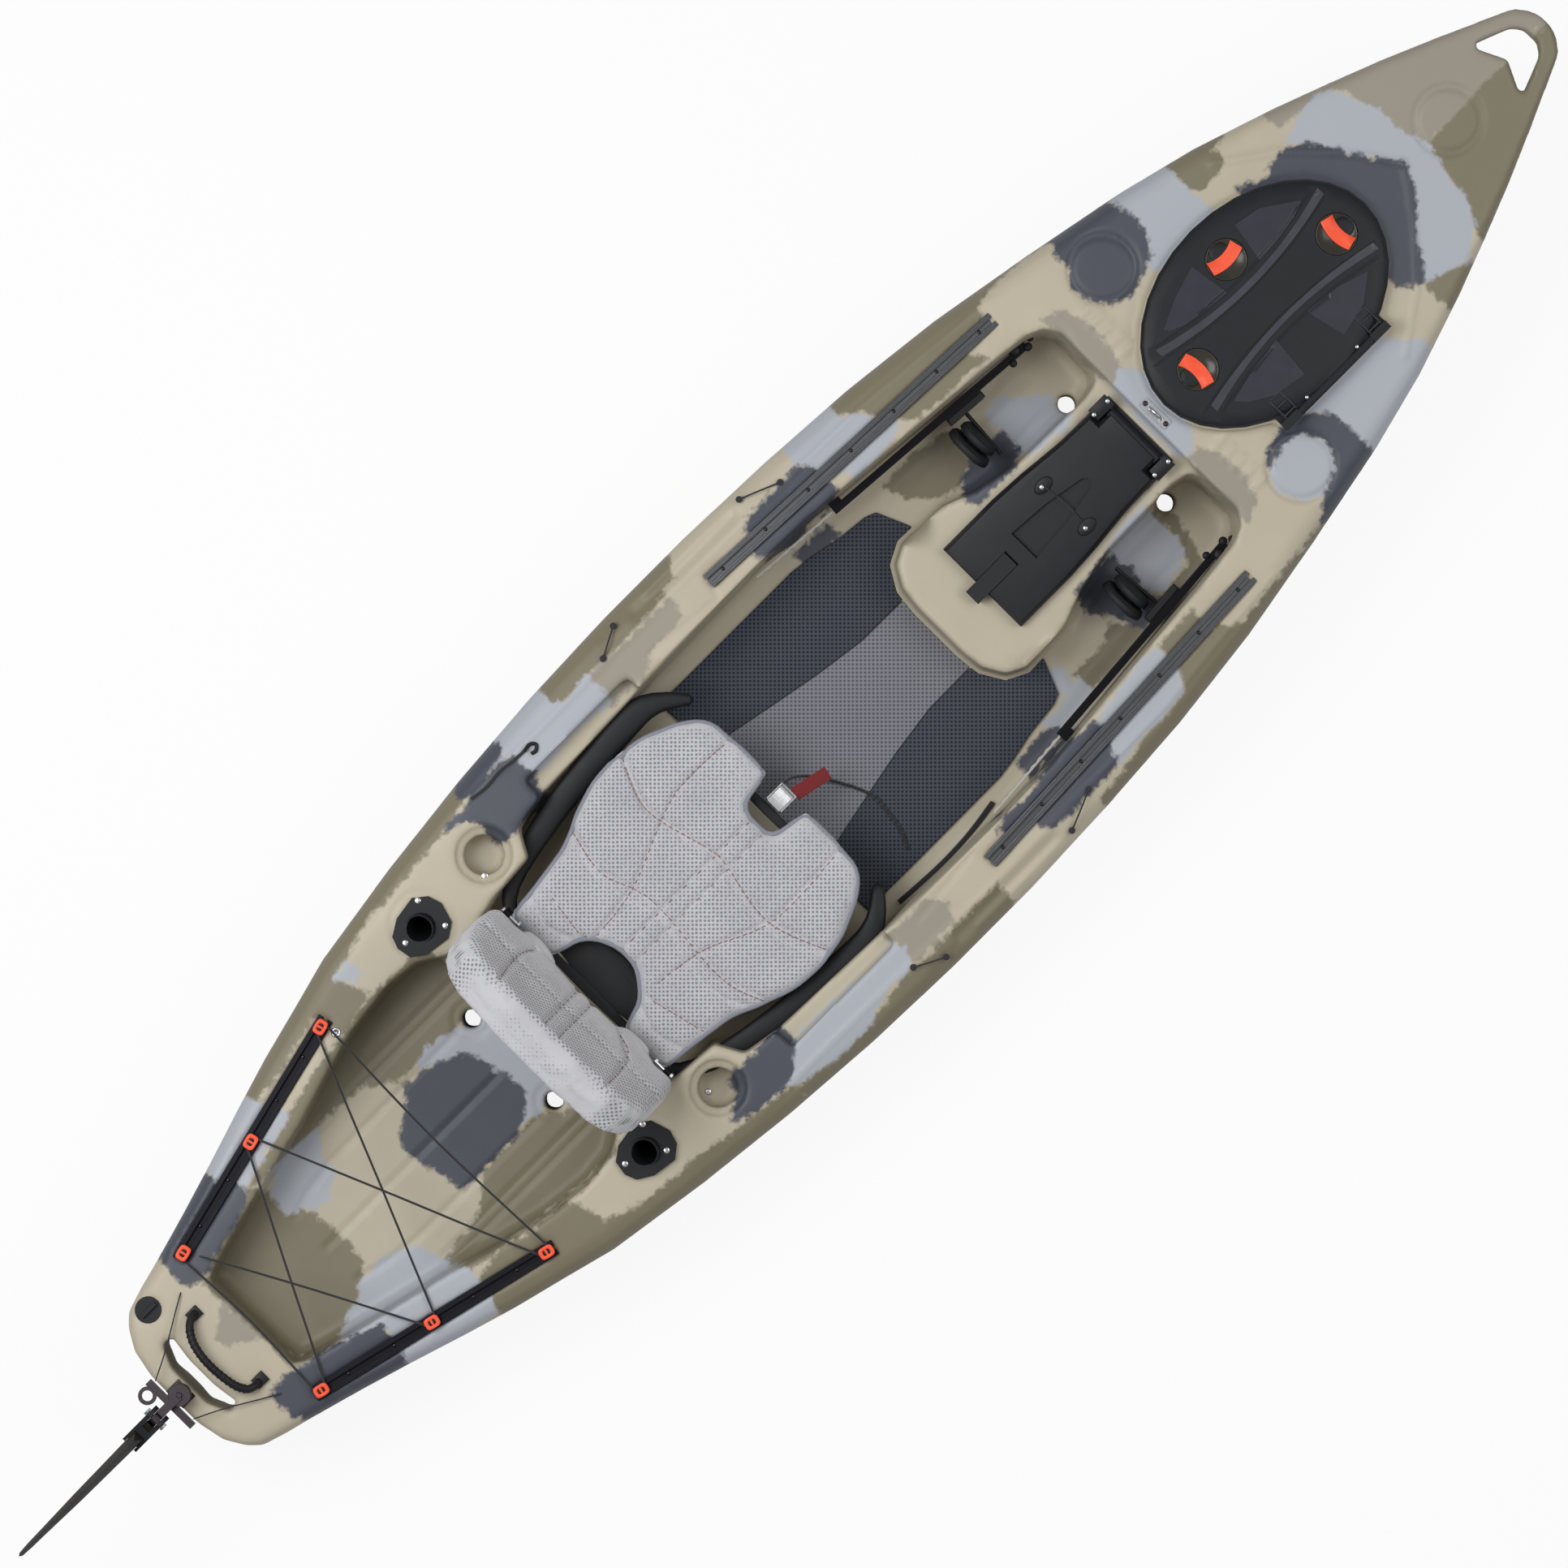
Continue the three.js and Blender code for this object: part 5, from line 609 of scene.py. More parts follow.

# camouflage: outlines of the patches in mm, read off the photograph, in the order they are laid on
patches = {
    "olive": [
        [(-1560, 115), (-1450, 165), (-1385, 175), (-1365, 125), (-1340, 60), (-1340, -60), (-1370, -90),
            (-1400, -120), (-1500, -130), (-1550, -105), (-1560, 0)],
        # olive patch on the tank well's port floor; its band along the side wall is painted wall shade as well as
        # olive
        [(-1390, 172), (-1250, 212), (-1070, 250), (-950, 264), (-880, 255), (-850, 240), (-850, 118),
            (-1060, 118), (-1100, 150), (-1100, 165), (-1240, 168), (-1300, 160)],
        [(-1272, 370), (-1265, 272), (-1075, 315), (-1060, 252), (-1005, 262), (-975, 268), (-1000, 300),
            (-1005, 335), (-900, 362), (-800, 372), (-680, 382), (-600, 400), (-590, 480), (-900, 450)],
        [(-1222, -380), (-1230, -240), (-1150, -225), (-1075, -245), (-1000, -250), (-983, -268), (-980, -320),
            (-900, -352), (-800, -362), (-680, -376), (-560, -392), (-540, -480), (-900, -450)],
        # olive patch on the tank well's starboard floor; its band along the side wall is painted wall shade as well
        # as olive
        [(-1300, -180), (-1240, -165), (-1140, -160), (-1090, -130), (-1075, -105), (-925, -105), (-880, -140),
            (-850, -150), (-850, -230), (-880, -245), (-950, -250), (-1100, -225), (-1250, -205)],
        [(-385, 400), (-370, 480), (-45, 480), (-45, 440), (-60, 412), (-150, 395), (-250, 390), (-360, 395)],
        [(-560, -402), (-380, -412), (-240, -398), (-45, -400), (-45, -480), (-540, -480)],
        [(345, 470), (355, 405), (395, 380), (410, 350), (430, 320), (440, 300), (620, 290), (600, 310),
            (590, 330), (660, 345), (690, 372), (740, 380), (880, 345), (880, 420), (700, 460)],
        [(330, 250), (345, 215), (380, 180), (405, 165), (440, 160), (490, 175), (495, 200), (485, 245),
            (400, 262)],
        [(1090, 320), (1090, 245), (1105, 228), (1150, 225), (1165, 240), (1165, 262), (1200, 266), (1200, 300)],
        [(1100, -250), (1140, -240), (1155, -250), (1150, -270), (1165, -280), (1130, -295), (1110, -290),
            (1115, -265)],
        [(1265, -180), (1290, -175), (1330, -195), (1350, -210), (1330, -290), (1265, -290)],
        [(1445, 0), (1435, -60), (1425, -120), (1400, -170), (1390, -260), (1800, -180), (1800, 0)],
        [(460, -360), (445, -390), (330, -405), (200, -425), (200, -480), (700, -470), (880, -420), (880, -345),
            (700, -372), (600, -378), (570, -352), (550, -345), (550, -300), (470, -300)],
        [(330, -235), (400, -232), (440, -215), (480, -250), (560, -245), (620, -240), (635, -200), (645, -160),
            (640, -130), (660, -110), (670, -150), (645, -230), (640, -260), (480, -270), (330, -275)],
    ],
    "khaki": [
        [(-305, 388), (-305, 330), (-250, 325), (-205, 325), (-200, 345), (-100, 352), (-95, 388)],
        [(-250, -320), (-150, -330), (-130, -360), (-140, -385), (-250, -390)],
        [(740, 265), (775, 250), (786, 200), (784, 130), (770, 95), (748, 95), (740, 150)],
        [(740, -250), (775, -245), (790, -200), (786, -130), (770, -100), (748, -100), (740, -150)],
        [(1430, 240), (1415, 150), (1430, 100), (1420, 60), (1445, 0), (1800, 0), (1800, 180)],
        [(1275, 280), (1285, 205), (1340, 200), (1390, 185), (1440, 150), (1440, 260)],
        [(-1560, 60), (-1620, 20), (-1610, 0), (-1560, -25)],
    ],
    "blue": [
        [(-1416, 252), (-1405, 330), (-1285, 330), (-1270, 290), (-1262, 262), (-1250, 240), (-1248, 212),
            (-1300, 205), (-1380, 180), (-1395, 182), (-1395, 205), (-1414, 215)],
        [(-1375, 140), (-1378, 95), (-1350, 88), (-1330, 68), (-1300, 62), (-1290, 75), (-1260, 90), (-1260, 115),
            (-1230, 165), (-1330, 165)],
        [(-1020, 110), (-990, 125), (-950, 122), (-940, 110), (-850, 115), (-850, -115), (-880, -90), (-920, -105),
            (-960, -95), (-950, -40), (-950, 40), (-960, 80)],
        [(-1395, -110), (-1370, -90), (-1320, -85), (-1290, -100), (-1250, -120), (-1240, -150), (-1225, -190),
            (-1205, -210), (-1205, -240), (-1230, -300), (-1420, -270), (-1405, -225), (-1390, -200),
            (-1390, -175), (-1410, -160), (-1460, -145), (-1460, -125)],
        [(-520, 480), (-520, 420), (-560, 395), (-490, 385), (-500, 360), (-480, 335), (-302, 340), (-300, 390),
            (-360, 392), (-380, 410), (-375, 480)],
        [(-520, -340), (-250, -340), (-245, -360), (-260, -390), (-360, -395), (-380, -412), (-480, -408),
            (-545, -400), (-570, -380)],
        [(250, 470), (240, 400), (255, 370), (255, 345), (300, 325), (300, 300), (410, 310), (420, 320),
            (400, 355), (390, 375), (350, 395), (355, 420), (335, 470)],
        [(260, -365), (290, -320), (380, -300), (460, -300), (465, -330), (460, -360), (440, -385), (300, -400),
            (265, -395)],
        [(530, -110), (630, -105), (635, -140), (640, -190), (620, -220), (560, -240), (540, -220), (530, -180)],
        [(225, -255), (330, -245), (330, -275), (225, -280)], [(300, -195), (325, -205), (315, -245), (290, -245)],
        [(550, 215), (590, 220), (630, 190), (660, 160), (650, 110), (640, 100), (560, 105), (540, 130),
            (555, 160)],
        [(975, 350), (985, 260), (960, 220), (940, 200), (945, 185), (1000, 150), (1080, 150), (1090, 185),
            (1090, 240), (1085, 330)],
        [(950, -185), (1130, -190), (1160, -220), (1190, -240), (1190, -270), (1150, -290), (1100, -350),
            (990, -370), (985, -230), (970, -200)],
        [(1270, 175), (1310, 190), (1370, 200), (1400, 170), (1415, 140), (1430, 100), (1425, 60), (1445, 0),
            (1435, -60), (1425, -120), (1400, -170), (1350, -205), (1290, -175), (1270, -175), (1300, -120),
            (1350, -60), (1395, 0), (1350, 60), (1310, 130)],
        [(738, 85), (770, 100), (790, 70), (785, -70), (760, -95), (738, -85)],
        [(880, -197), (920, -212), (940, -257), (920, -302), (880, -317), (840, -302), (820, -257), (840, -212)],
        [(-1010, 330), (-985, 300), (-960, 310), (-975, 340)],
    ],
    "slate": [
        [(-1590, 142), (-1588, 193), (-1575, 250), (-1420, 290), (-1414, 215), (-1395, 200), (-1395, 170),
            (-1440, 150), (-1540, 125), (-1580, 130)],
        [(-1624, -160), (-1619, -122), (-1586, -112), (-1539, -118), (-1450, -145), (-1392, -166), (-1395, -190),
            (-1413, -280), (-1521, -270), (-1605, -220)],
        [(-1142, 10), (-1130, 40), (-1090, 75), (-1065, 98), (-1000, 98), (-950, 75), (-930, 35), (-928, 3),
            (-918, -10), (-922, -60), (-950, -90), (-990, -102), (-1115, -98), (-1125, -60), (-1142, -20)],
        [(-675, 378), (-620, 380), (-600, 395), (-620, 402), (-590, 480), (-515, 480), (-500, 400), (-560, 392),
            (-490, 385), (-495, 360), (-490, 338), (-505, 320), (-505, 290), (-630, 290), (-620, 345), (-640, 360)],
        [(-680, -355), (-660, -370), (-570, -385), (-545, -375), (-520, -345), (-505, -335), (-505, -300),
            (-560, -300), (-630, -300), (-640, -335)],
        [(90, 375), (110, 388), (240, 390), (258, 370), (255, 345), (265, 315), (240, 300), (110, 305), (75, 320),
            (70, 335), (90, 350)],
        [(125, 285), (200, 285), (210, 255), (180, 255), (130, 262)],
        [(30, -330), (50, -320), (100, -325), (200, -305), (290, -315), (300, -330), (280, -360), (270, -385),
            (250, -398), (100, -395), (85, -370), (40, -345)],
        [(145, -270), (225, -265), (235, -280), (260, -300), (150, -300)],
        [(410, 135), (440, 160), (500, 180), (550, 180), (550, 130), (520, 112), (480, 108), (420, 115)],
        [(440, -125), (530, -115), (530, -150), (540, -170), (530, -240), (480, -260), (450, -200), (430, -175)],
        [(850, 380), (850, 345), (835, 330), (840, 300), (818, 270), (820, 230), (845, 200), (870, 185),
            (900, 182), (935, 200), (965, 220), (985, 265), (975, 315), (960, 370)],
        [(850, -190), (900, -185), (950, -190), (975, -215), (985, -250), (990, -380), (850, -400), (838, -345),
            (880, -320), (922, -304), (942, -257), (922, -210), (880, -195), (838, -213)],
        [(1150, 178), (1200, 160), (1240, 175), (1290, 150), (1320, 120), (1350, 50), (1395, 0), (1370, -50),
            (1340, -80), (1310, -110), (1290, -150), (1260, -175), (1230, -150), (1225, -120), (1200, -90),
            (1200, 90), (1180, 140), (1150, 150)],
    ],
}


# smooth unseeded waves that bend the patches' outlines
def waves(points, size, phase):
    x, y, z = (points / size).T
    return (np.sin(1.7 * x + 2.3 * y + phase) + np.sin(2.9 * y - 1.3 * x + 1.9 * z + 2.1 * phase)
        + np.sin(2.1 * z + 3.1 * x + 3.7 * phase)) / 3


# how far inside an outline each point lies, negative outside
def depthInside(points, outline):
    distance = distanceToLine(points, [*outline, outline[0]])
    inside = np.zeros(len(points), bool)
    for (ax, ay), (bx, by) in zip(np.array(outline) * mm, np.roll(outline, -1, axis=0) * mm):
        crosses = (ay > points[:, 1]) != (by > points[:, 1])
        at = ax + (points[:, 1] - ay) / (by - ay if by != ay else 1e-9) * (bx - ax)
        inside ^= crosses & (points[:, 0] < at)
    return np.where(inside, distance, -distance)


places = positionsOf(skin.data)
# the patches' outlines are bent by 5 mm, and by 30 mm more down the unseen sides
lowness = np.clip((0.24 - places[:, 2]) / 0.15, 0, 1)[:, None] * (np.abs(places[:, 1:2]) > 0.3)
bends = np.stack((waves(places, 0.06, 0.7), waves(places, 0.06, 4.1)), axis=1)
bent = places[:, :2] + (0.005 + 0.03 * lowness) * bends
for name, outlines in patches.items():
    field = np.full(len(bent), -0.1)
    for outline in outlines:
        low, high = np.min(outline, axis=0) * mm - 0.05, np.max(outline, axis=0) * mm + 0.05
        near = np.all((bent > low) & (bent < high), axis=1)
        field[near] = np.maximum(field[near], depthInside(bent[near], outline))
    attribute = skin.data.attributes.new(name + "Patch", "FLOAT", "POINT")
    attribute.data.foreach_set("value", (field + 0.003).astype(np.float32))  # neighbouring patches overlap a little

# the skin stands open under the hatch ring and in the rod holders' bores
opened = bmesh.new()
opened.from_mesh(skin.data)
centre, halfLength, halfWidth = hull["hatch"]
doomed = []
for face in opened.faces:
    p = face.calc_center_median() / mm
    underRing = p.z > 320 and math.hypot((p.x - centre) / (halfLength + 8), p.y / (halfWidth + 8)) < 1
    if underRing or (p.z > 200 and -900 < p.x < -740 and fromBore(p) < 29):
        doomed.append(face)
bmesh.ops.delete(opened, geom=doomed, context="FACES")
opened.to_mesh(skin.data)
opened.free()
insetMesh(inner, hull["liningGap"])
makeObject("hullLining", meshFrom(inner, "hullLining"), finishes["polyethylene"], "hull",
    smooth=False)
print("hull done")


# soft parts
def inflate(obj, pressure, cap, frames=20):
    rest = positionsOf(obj.data)
    cloth = obj.modifiers.new("cloth", "CLOTH")
    cloth.settings.use_pressure = True
    cloth.settings.uniform_pressure_force = pressure
    cloth.settings.effector_weights.gravity = 0
    cloth.settings.quality = 4
    cloth.point_cache.frame_end = frames
    for step in range(1, frames + 1):
        scene.frame_set(step)
    swollen = positionsOf(obj.evaluated_get(bpy.context.evaluated_depsgraph_get()).data)
    obj.modifiers.clear()
    move = swollen - rest
    length = np.linalg.norm(move, axis=1, keepdims=True)
    move *= np.minimum(1, cap / np.maximum(length, 1e-9))
    setPositions(obj.data, rest + move)
    scene.frame_set(1)


# the closed line where a level plane, in the object's own axes, cuts its mesh
def sliceLoop(mesh, height, spacing=0.012):
    bm = bmesh.new()
    bm.from_mesh(mesh)
    cut = bmesh.ops.bisect_plane(bm, geom=[*bm.verts, *bm.edges, *bm.faces], plane_co=(0, 0, height),
        plane_no=(0, 0, 1))
    # in the cut's own order, so that the line starts at the same place each run
    edges = {g: None for g in cut["geom_cut"] if isinstance(g, bmesh.types.BMEdge)}
    loops = []
    while edges:
        first, last = edges.popitem()[0].verts
        loop = [first, last]
        while True:
            step = next((e for e in loop[-1].link_edges if e in edges), None)
            if step is None:
                break
            del edges[step]
            loop.append(step.other_vert(loop[-1]))
        loops.append([v.co.copy() for v in loop])
    bm.free()
    line = max(loops, key=lineLength)
    kept = [line[0]]
    for point in line[1:]:
        if (point - kept[-1]).length > spacing:
            kept.append(point)
    count = len(kept)
    return [(kept[i - 1] + kept[i] * 2 + kept[(i + 1) % count]) / 4 for i in range(count)]


def carveSeams(mesh, seams, halfWidth, depth):
    points = positionsOf(mesh)
    normals = positionsOf(mesh, "vertices", "normal")
    up = np.clip(normals[:, 2] * 2, 0, 1)
    for line in seams:
        distance = distanceToLine(points[:, :2], line) / (halfWidth * mm)
        points[:, 2] -= depth * mm * np.exp(-distance ** 2) * up
    setPositions(mesh, points)


# stitches laid along a seam on the cushion's face; length, gap and radius in mm
def stitches(name, mesh, seams, body, matrix, length=8, gap=1, radius=0.9):
    bm = bmesh.new()
    bm.from_mesh(mesh)
    tree = BVHTree.FromBMesh(bm)
    bm.free()
    shapes = []
    for line in seams:
        path = smoothLine([vec(x, y, 0) for x, y in line], 12)
        walked = 0.0
        for a, b in zip(path, path[1:]):
            walked += (b - a).length
            if walked < (length + gap) * mm:
                continue
            walked = 0.0
            middle = tree.ray_cast(Vector((b.x, b.y, 1)), Vector((0, 0, -1)))[0]
            if middle is None:
                continue
            half, tip = length / 2, length / 3
            stitch = turned([(radius * 0.6, -half), (radius, -tip), (radius, tip), (radius * 0.6, half)], 6)
            shapes.append((stitch, aimed(middle + vec(0, 0, 1.2), (b - a).normalized())))
    threads = joinedObject(name, shapes, "thread", "hull")
    threads.parent = None
    threads.matrix_world = matrix
    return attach(threads, body)


cushion = {
    "voxel": 0.005,
    "inset": 0.004,
    "pressure": 4.0,
    "cap": 0.007,  # the padding swells by this at most
    "seamWidth": 5,
    "seamDepth": 6,
    "piping": 0.0045,
}


def makeCushion(name, nodeName, body, matrix, settings):
    bm = weldedCopy(nodeName)
    bm.transform(matrix.inverted())
    for vert in bm.verts:
        settings["reach"](vert.co)
    insetMesh(bm, cushion["inset"])
    mesh = meshFrom(bm, name)
    obj = makeObject(name, mesh, finishes["mesh"], body)
    addModifier(obj, "REMESH", mode="VOXEL", voxel_size=cushion["voxel"], use_smooth_shade=True)
    addModifier(obj, "SMOOTH", factor=0.5, iterations=3)
    applyModifiers(obj)
    inflate(obj, cushion["pressure"], cushion["cap"])
    addModifier(obj, "SMOOTH", factor=0.5, iterations=2)
    applyModifiers(obj)
    carveSeams(obj.data, settings["seams"], cushion["seamWidth"], cushion["seamDepth"])
    loop = sliceLoop(obj.data, settings["pipingHeight"]) if "pipingHeight" in settings else []
    obj.parent = None
    obj.matrix_world = matrix
    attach(obj, body)
    addModifier(obj, "SUBSURF", levels=1, render_levels=1)
    if loop:
        curveObject(name + "Piping", [matrix @ p for p in loop], cushion["piping"], finishes["binding"], body,
                    closed=True)
    stitches(name + "Stitches", obj.data, settings["seams"], body, matrix)
    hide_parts(nodeName)
    print(name, "vertices:", len(obj.data.vertices))
    return obj


seatCushion = {
    "seams": [
        [(-355, 250), (-393, 150), (-365, 20), (-362, -20), (-382, -150), (-340, -270)],
        [(-510, 235), (-532, 130), (-510, 60), (-502, 0), (-513, -170), (-475, -275)],
        [(-625, 165), (-640, 60)], [(-632, -95), (-605, -205)],
        [(-200, 130), (-340, 130), (-510, 65), (-625, 50)],
        [(-620, 0), (-265, 0)], [(-620, -33), (-265, -33)],
        [(-200, -152), (-370, -157), (-500, -105), (-600, -88)],
    ],
    "pipingHeight": 0.283,
    "reachBack": (-0.55, 0.12, 0.022),  # behind this place, over this length, by this much
}


# the padding runs back under the backrest
def reachBack(point):
    start, over, reach = seatCushion["reachBack"]
    if point.x < start:
        point.x -= reach * min(1, (start - point.x) / over)


seatCushion["reach"] = reachBack
makeCushion("seatCushion", "seat_cushion", "seat", Matrix.Identity(4), seatCushion)
backCushion = {
    "place": (-702.975, -10, 334.91),
    "lean": 72,
    "seams": [[(-30, 15), (-255, 15)], [(-30, -20), (-255, -20)], [(-60, 120), (-130, 135), (-255, 128)],
              [(-60, -90), (-120, -135), (-255, -140)]],
    "height": 0.26,
    "swell": (1.15, 0.5),  # all over, and more towards the top
    "settle": 0.03,
    "rise": 0.026,
    "corner": (0.11, 0.1, 0.03),  # from this half width, over this much, by this drop
}


# thicker towards the top, leaning back and rounded at its upper corners, as the photograph shows it
def plump(point):
    lift = min(1, max(0, -point.x / backCushion["height"]))
    overall, more = backCushion["swell"]
    point.z = point.z * (overall + more * lift) - backCushion["settle"] * lift
    point.x -= backCushion["rise"] * lift
    start, over, drop = backCushion["corner"]
    outer = max(0, abs(point.y) - start) / over
    point.x += drop * outer ** 2 * lift


backCushion["reach"] = plump
backMatrix = shift(*backCushion["place"]) @ turn(backCushion["lean"], "Y")
makeCushion("backCushion", "seat_back_cushion", "seat_back", backMatrix, backCushion)


# foam pads and small soft pieces: the solid's outline with rounded edges
def softened(name, nodeName, body, material, width, segments=3):
    mesh = meshFrom(weldedCopy(nodeName, 2.0), name)
    obj = makeObject(name, mesh, material, body)
    addModifier(obj, "BEVEL", width=width, segments=segments, limit_method="ANGLE", angle_limit=math.radians(35),
        harden_normals=True)
    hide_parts(nodeName)
    return obj


for sideName, side in sides:
    softened(f"floorPad_{sideName}", f"floor_pad_{sideName}", "hull", finishes["darkFoam"], 0.0025)
softened("floorPad_centre", "floor_pad_centre", "hull", finishes["greyFoam"], 0.0025)
softened("strapTab", "strap_tab", "seat", finishes["webbing"], 0.0008, 2)


# cords: the solid's own route, rounded
def roundedCord(name, nodeName, body="hull"):
    obj = makeObject(name, meshFrom(weldedCopy(nodeName), name), finishes["braid"], body)
    addModifier(obj, "SUBSURF", levels=2, render_levels=2)
    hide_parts(nodeName)
    return obj


roundedCord("lashingCord", "tank_cord")
for sideName, side in sides:
    roundedCord(f"steeringCable_{sideName}", f"steering_cable_{sideName}")
    for place in ("rear", "front"):
        roundedCord(f"paddleLoop_{sideName}_{place}", f"paddle_loop_{sideName}_{place}")
print("soft parts done")

# hatch latches: smoked disc crossed by an orange band, with a small pointer at the lid's rim
latch = {
    "disc": 37,
    "bandCentre": 72,  # the band bends round a point outside the disc
    "band": (60, 85),
    "arm": [(-7, -46), (7, -46), (8, 4), (-8, 4)],
    "pointer": [(33, -5), (44, -3.5), (47, 0), (44, 3.5), (33, 5)],
    "places": {
        "hatch_latch_aft": (867.09, 1.87, 180),
        "hatch_latch_port": (1042.96, 105.09, 90),
        "hatch_latch_fore": (1215.25, -2.99, 0),
    },
    "low": 313.7,
    "base": 372.1,
    "top": 377.1,
}


# the band's outline: two arcs round the far centre, cut off by the disc
def bandOutline():
    far, disc = latch["bandCentre"], latch["disc"] - 1
    points = []
    for radius, order in zip(latch["band"], (1, -1)):
        reach = math.acos(min(1, (far ** 2 + radius ** 2 - disc ** 2) / (2 * far * radius)))
        for a in np.linspace(-reach, reach, 14)[::order]:
            points.append(Vector((far - radius * math.cos(a), radius * math.sin(a))) * mm)
    return points


for nodeName, (x, y, outward) in latch["places"].items():
    body = nodeName.replace("hatch_latch", "latch")
    place = shift(x, y, 0) @ turn(outward, "Z")
    low, base, top = latch["low"], latch["base"], latch["top"]
    disc = turned([(8, low), (8, base), (36.5, base), (38, base + 1.5), (38, top - 0.6), (37, top), (35.5, top),
                   (35, top - 1), (10, top - 1)], 48)
    arm = extruded([vec(*p, 0).xy for p in latch["arm"]], low * mm, (low + 5) * mm, 0.001)
    discObject = joinedObject(nodeName + "_disc", [(disc, place), (arm, place)], "smokedPlastic", body)
    hub = turned([(19, top - 1.5), (19, top - 0.4), (18, top + 0.4), (9, top + 0.6)], 36)
    pointer = extruded([vec(*p, 0).xy for p in latch["pointer"]], (base + 1) * mm, (top + 0.6) * mm, 0.0006)
    joinedObject(nodeName + "_hub", [(hub, place @ shift(17, 0, 0)), (pointer, place)], "nylon", body)
    band = extruded(bandOutline(), (top - 1) * mm, (top + 1.6) * mm, 0.0006)
    joinedObject(nodeName + "_band", [(band, place)], "orangeNylon", body)
    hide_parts(nodeName)


# height of the finished surface under a place, seen from above
def surfaceHeight(x, y, fallback=0.3):
    hit = scene.ray_cast(bpy.context.evaluated_depsgraph_get(), vec(x, y, 900), Vector((0, 0, -1)))
    return hit[1].z if hit[0] else fallback


# a thin plate that follows the surface below it: outline in mm, laid on by its own heights
def laidPlate(name, outlines, finish, body, rise=0.8, spacing=0.012, reach=0):
    shapes = []
    for outline in outlines:
        bm = bmesh.new()
        bm.faces.new([bm.verts.new((x * mm, y * mm, 0)) for x, y in outline])
        bmesh.ops.triangulate(bm, faces=bm.faces)
        for _ in range(3):
            longEdges = [e for e in bm.edges if e.calc_length() > spacing]
            if longEdges:
                bmesh.ops.subdivide_edges(bm, edges=longEdges, cuts=1)
                bmesh.ops.triangulate(bm, faces=bm.faces)
        for vert in bm.verts:
            x, y = vert.co.x / mm, vert.co.y / mm
            vert.co.z = max(surfaceHeight(x, y + step) for step in (-reach, 0, reach)) + rise * mm
        edge = bmesh.ops.extrude_face_region(bm, geom=bm.faces[:])
        for item in edge["geom"]:
            if isinstance(item, bmesh.types.BMVert):
                item.co.z -= (rise + 1) * mm
        bmesh.ops.recalc_face_normals(bm, faces=bm.faces)
        shapes.append(bm)
    return joinedObject(name, shapes, finish, body, smooth=False)


# hatch lid: lighter panels, glossy strips between the hourglass grooves whose lighter grey is painted highlight,
# hinge clips
def bowed(x0, x1, y0, sag, count=14):
    middle, half = (x0 + x1) / 2, (x1 - x0) / 2
    return [(x, y0 + sag * ((x - middle) / half) ** 2) for x in np.linspace(x0, x1, count)]


lidDetail = {
    "panels": [
        [(874, 96), (930, 122), (990, 140), (1002, 62), (960, 66), (910, 74), (880, 86)],
        [(1084, 62), (1098, 138), (1150, 128), (1214, 84), (1180, 72), (1130, 64)],
        [(872, -84), (930, -70), (1004, -60), (996, -140), (930, -128), (890, -104)],
        [(1078, -62), (1150, -72), (1208, -90), (1160, -126), (1096, -140)],
    ],
    "strips": [
        bowed(838, 1250, 38, 26) + bowed(838, 1250, 50, 30)[::-1],
        bowed(838, 1250, -38, -22) + bowed(838, 1250, -48, -28)[::-1],
    ],
}
laidPlate("hatchPanels", lidDetail["panels"], "panelPlastic", "hatch_lid", 0.9)
laidPlate("hatchStrips", lidDetail["strips"], "stripPlastic", "hatch_lid", 1.0, reach=9)

# tie clips: an orange frame round a dark slot, bridged where the cord passes
tieClip = {"half": (14, 11), "slot": (7, 5), "turn": 13.6}  # half sizes in mm, and degrees along the track


def ringShape(outer, inner, low, high, count=28, power=4.0):
    bm = bmesh.new()
    rings = []
    outerTop, innerTop = (outer[0] - 1, outer[1] - 1), (inner[0] + 1, inner[1] + 1)
    steps = ((outer, low), (outer, high - 1), (outerTop, high), (innerTop, high), (inner, high - 1), (inner, low))
    for half, z in steps:
        ring = []
        for a in around(count):
            c, t = math.cos(a), math.sin(a)
            scale = (abs(c) ** power + abs(t) ** power) ** (-1 / power)
            ring.append(bm.verts.new(Vector((half[0] * c * scale, half[1] * t * scale, z)) * mm))
        rings.append(ring)
    skinRings(bm, rings, closed=True)
    bmesh.ops.recalc_face_normals(bm, faces=bm.faces)
    return bm


def blockShape(size, centre, round=0.8):
    x, y, z = (v / 2 for v in size)
    outline = [Vector((px, py)) * mm for px, py in ((x, y), (-x, y), (-x, -y), (x, -y))]
    bm = extruded(outline, -z * mm, z * mm, round * mm)
    bm.transform(Matrix.Translation(vec(*centre)))
    return bm


for sideName, side in sides:
    for place in ("aft", "middle", "front"):
        nodeName = f"tie_clip_{sideName}_{place}"
        low, high = boxOf(nodeName)
        at = shift((low.x + high.x) / 2, (low.y + high.y) / 2, 0) @ turn(tieClip["turn"] * side, "Z")
        frameShape = ringShape(tieClip["half"], tieClip["slot"], low.z, high.z)
        bridge = blockShape((4, 11, 3), (0, 0, high.z - 1.2))
        shapes = [(frameShape, at), (bridge, at)]
        clip = joinedObject(nodeName + "_frame", shapes, "orangeNylon", "hull")
        joinedObject(nodeName + "_slot", [(blockShape((15, 11, 2), (0, 0, high.z - 4)), at)], "nylon", "hull")
        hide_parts(nodeName)

# hinge clips on the lid's starboard rim
clipBars = []
for x in (930, 1145):
    clipBars += [blockShape((3, 44, 4), (x + step, -150, 377.6), 0.5) for step in (-13, 13)]
    clipBars += [blockShape((26, 3, 4), (x, y, 377.6), 0.5) for y in (-130, -148, -168)]
joinedObject("hingeClips", clipBars, "panelPlastic", "hatch_lid")
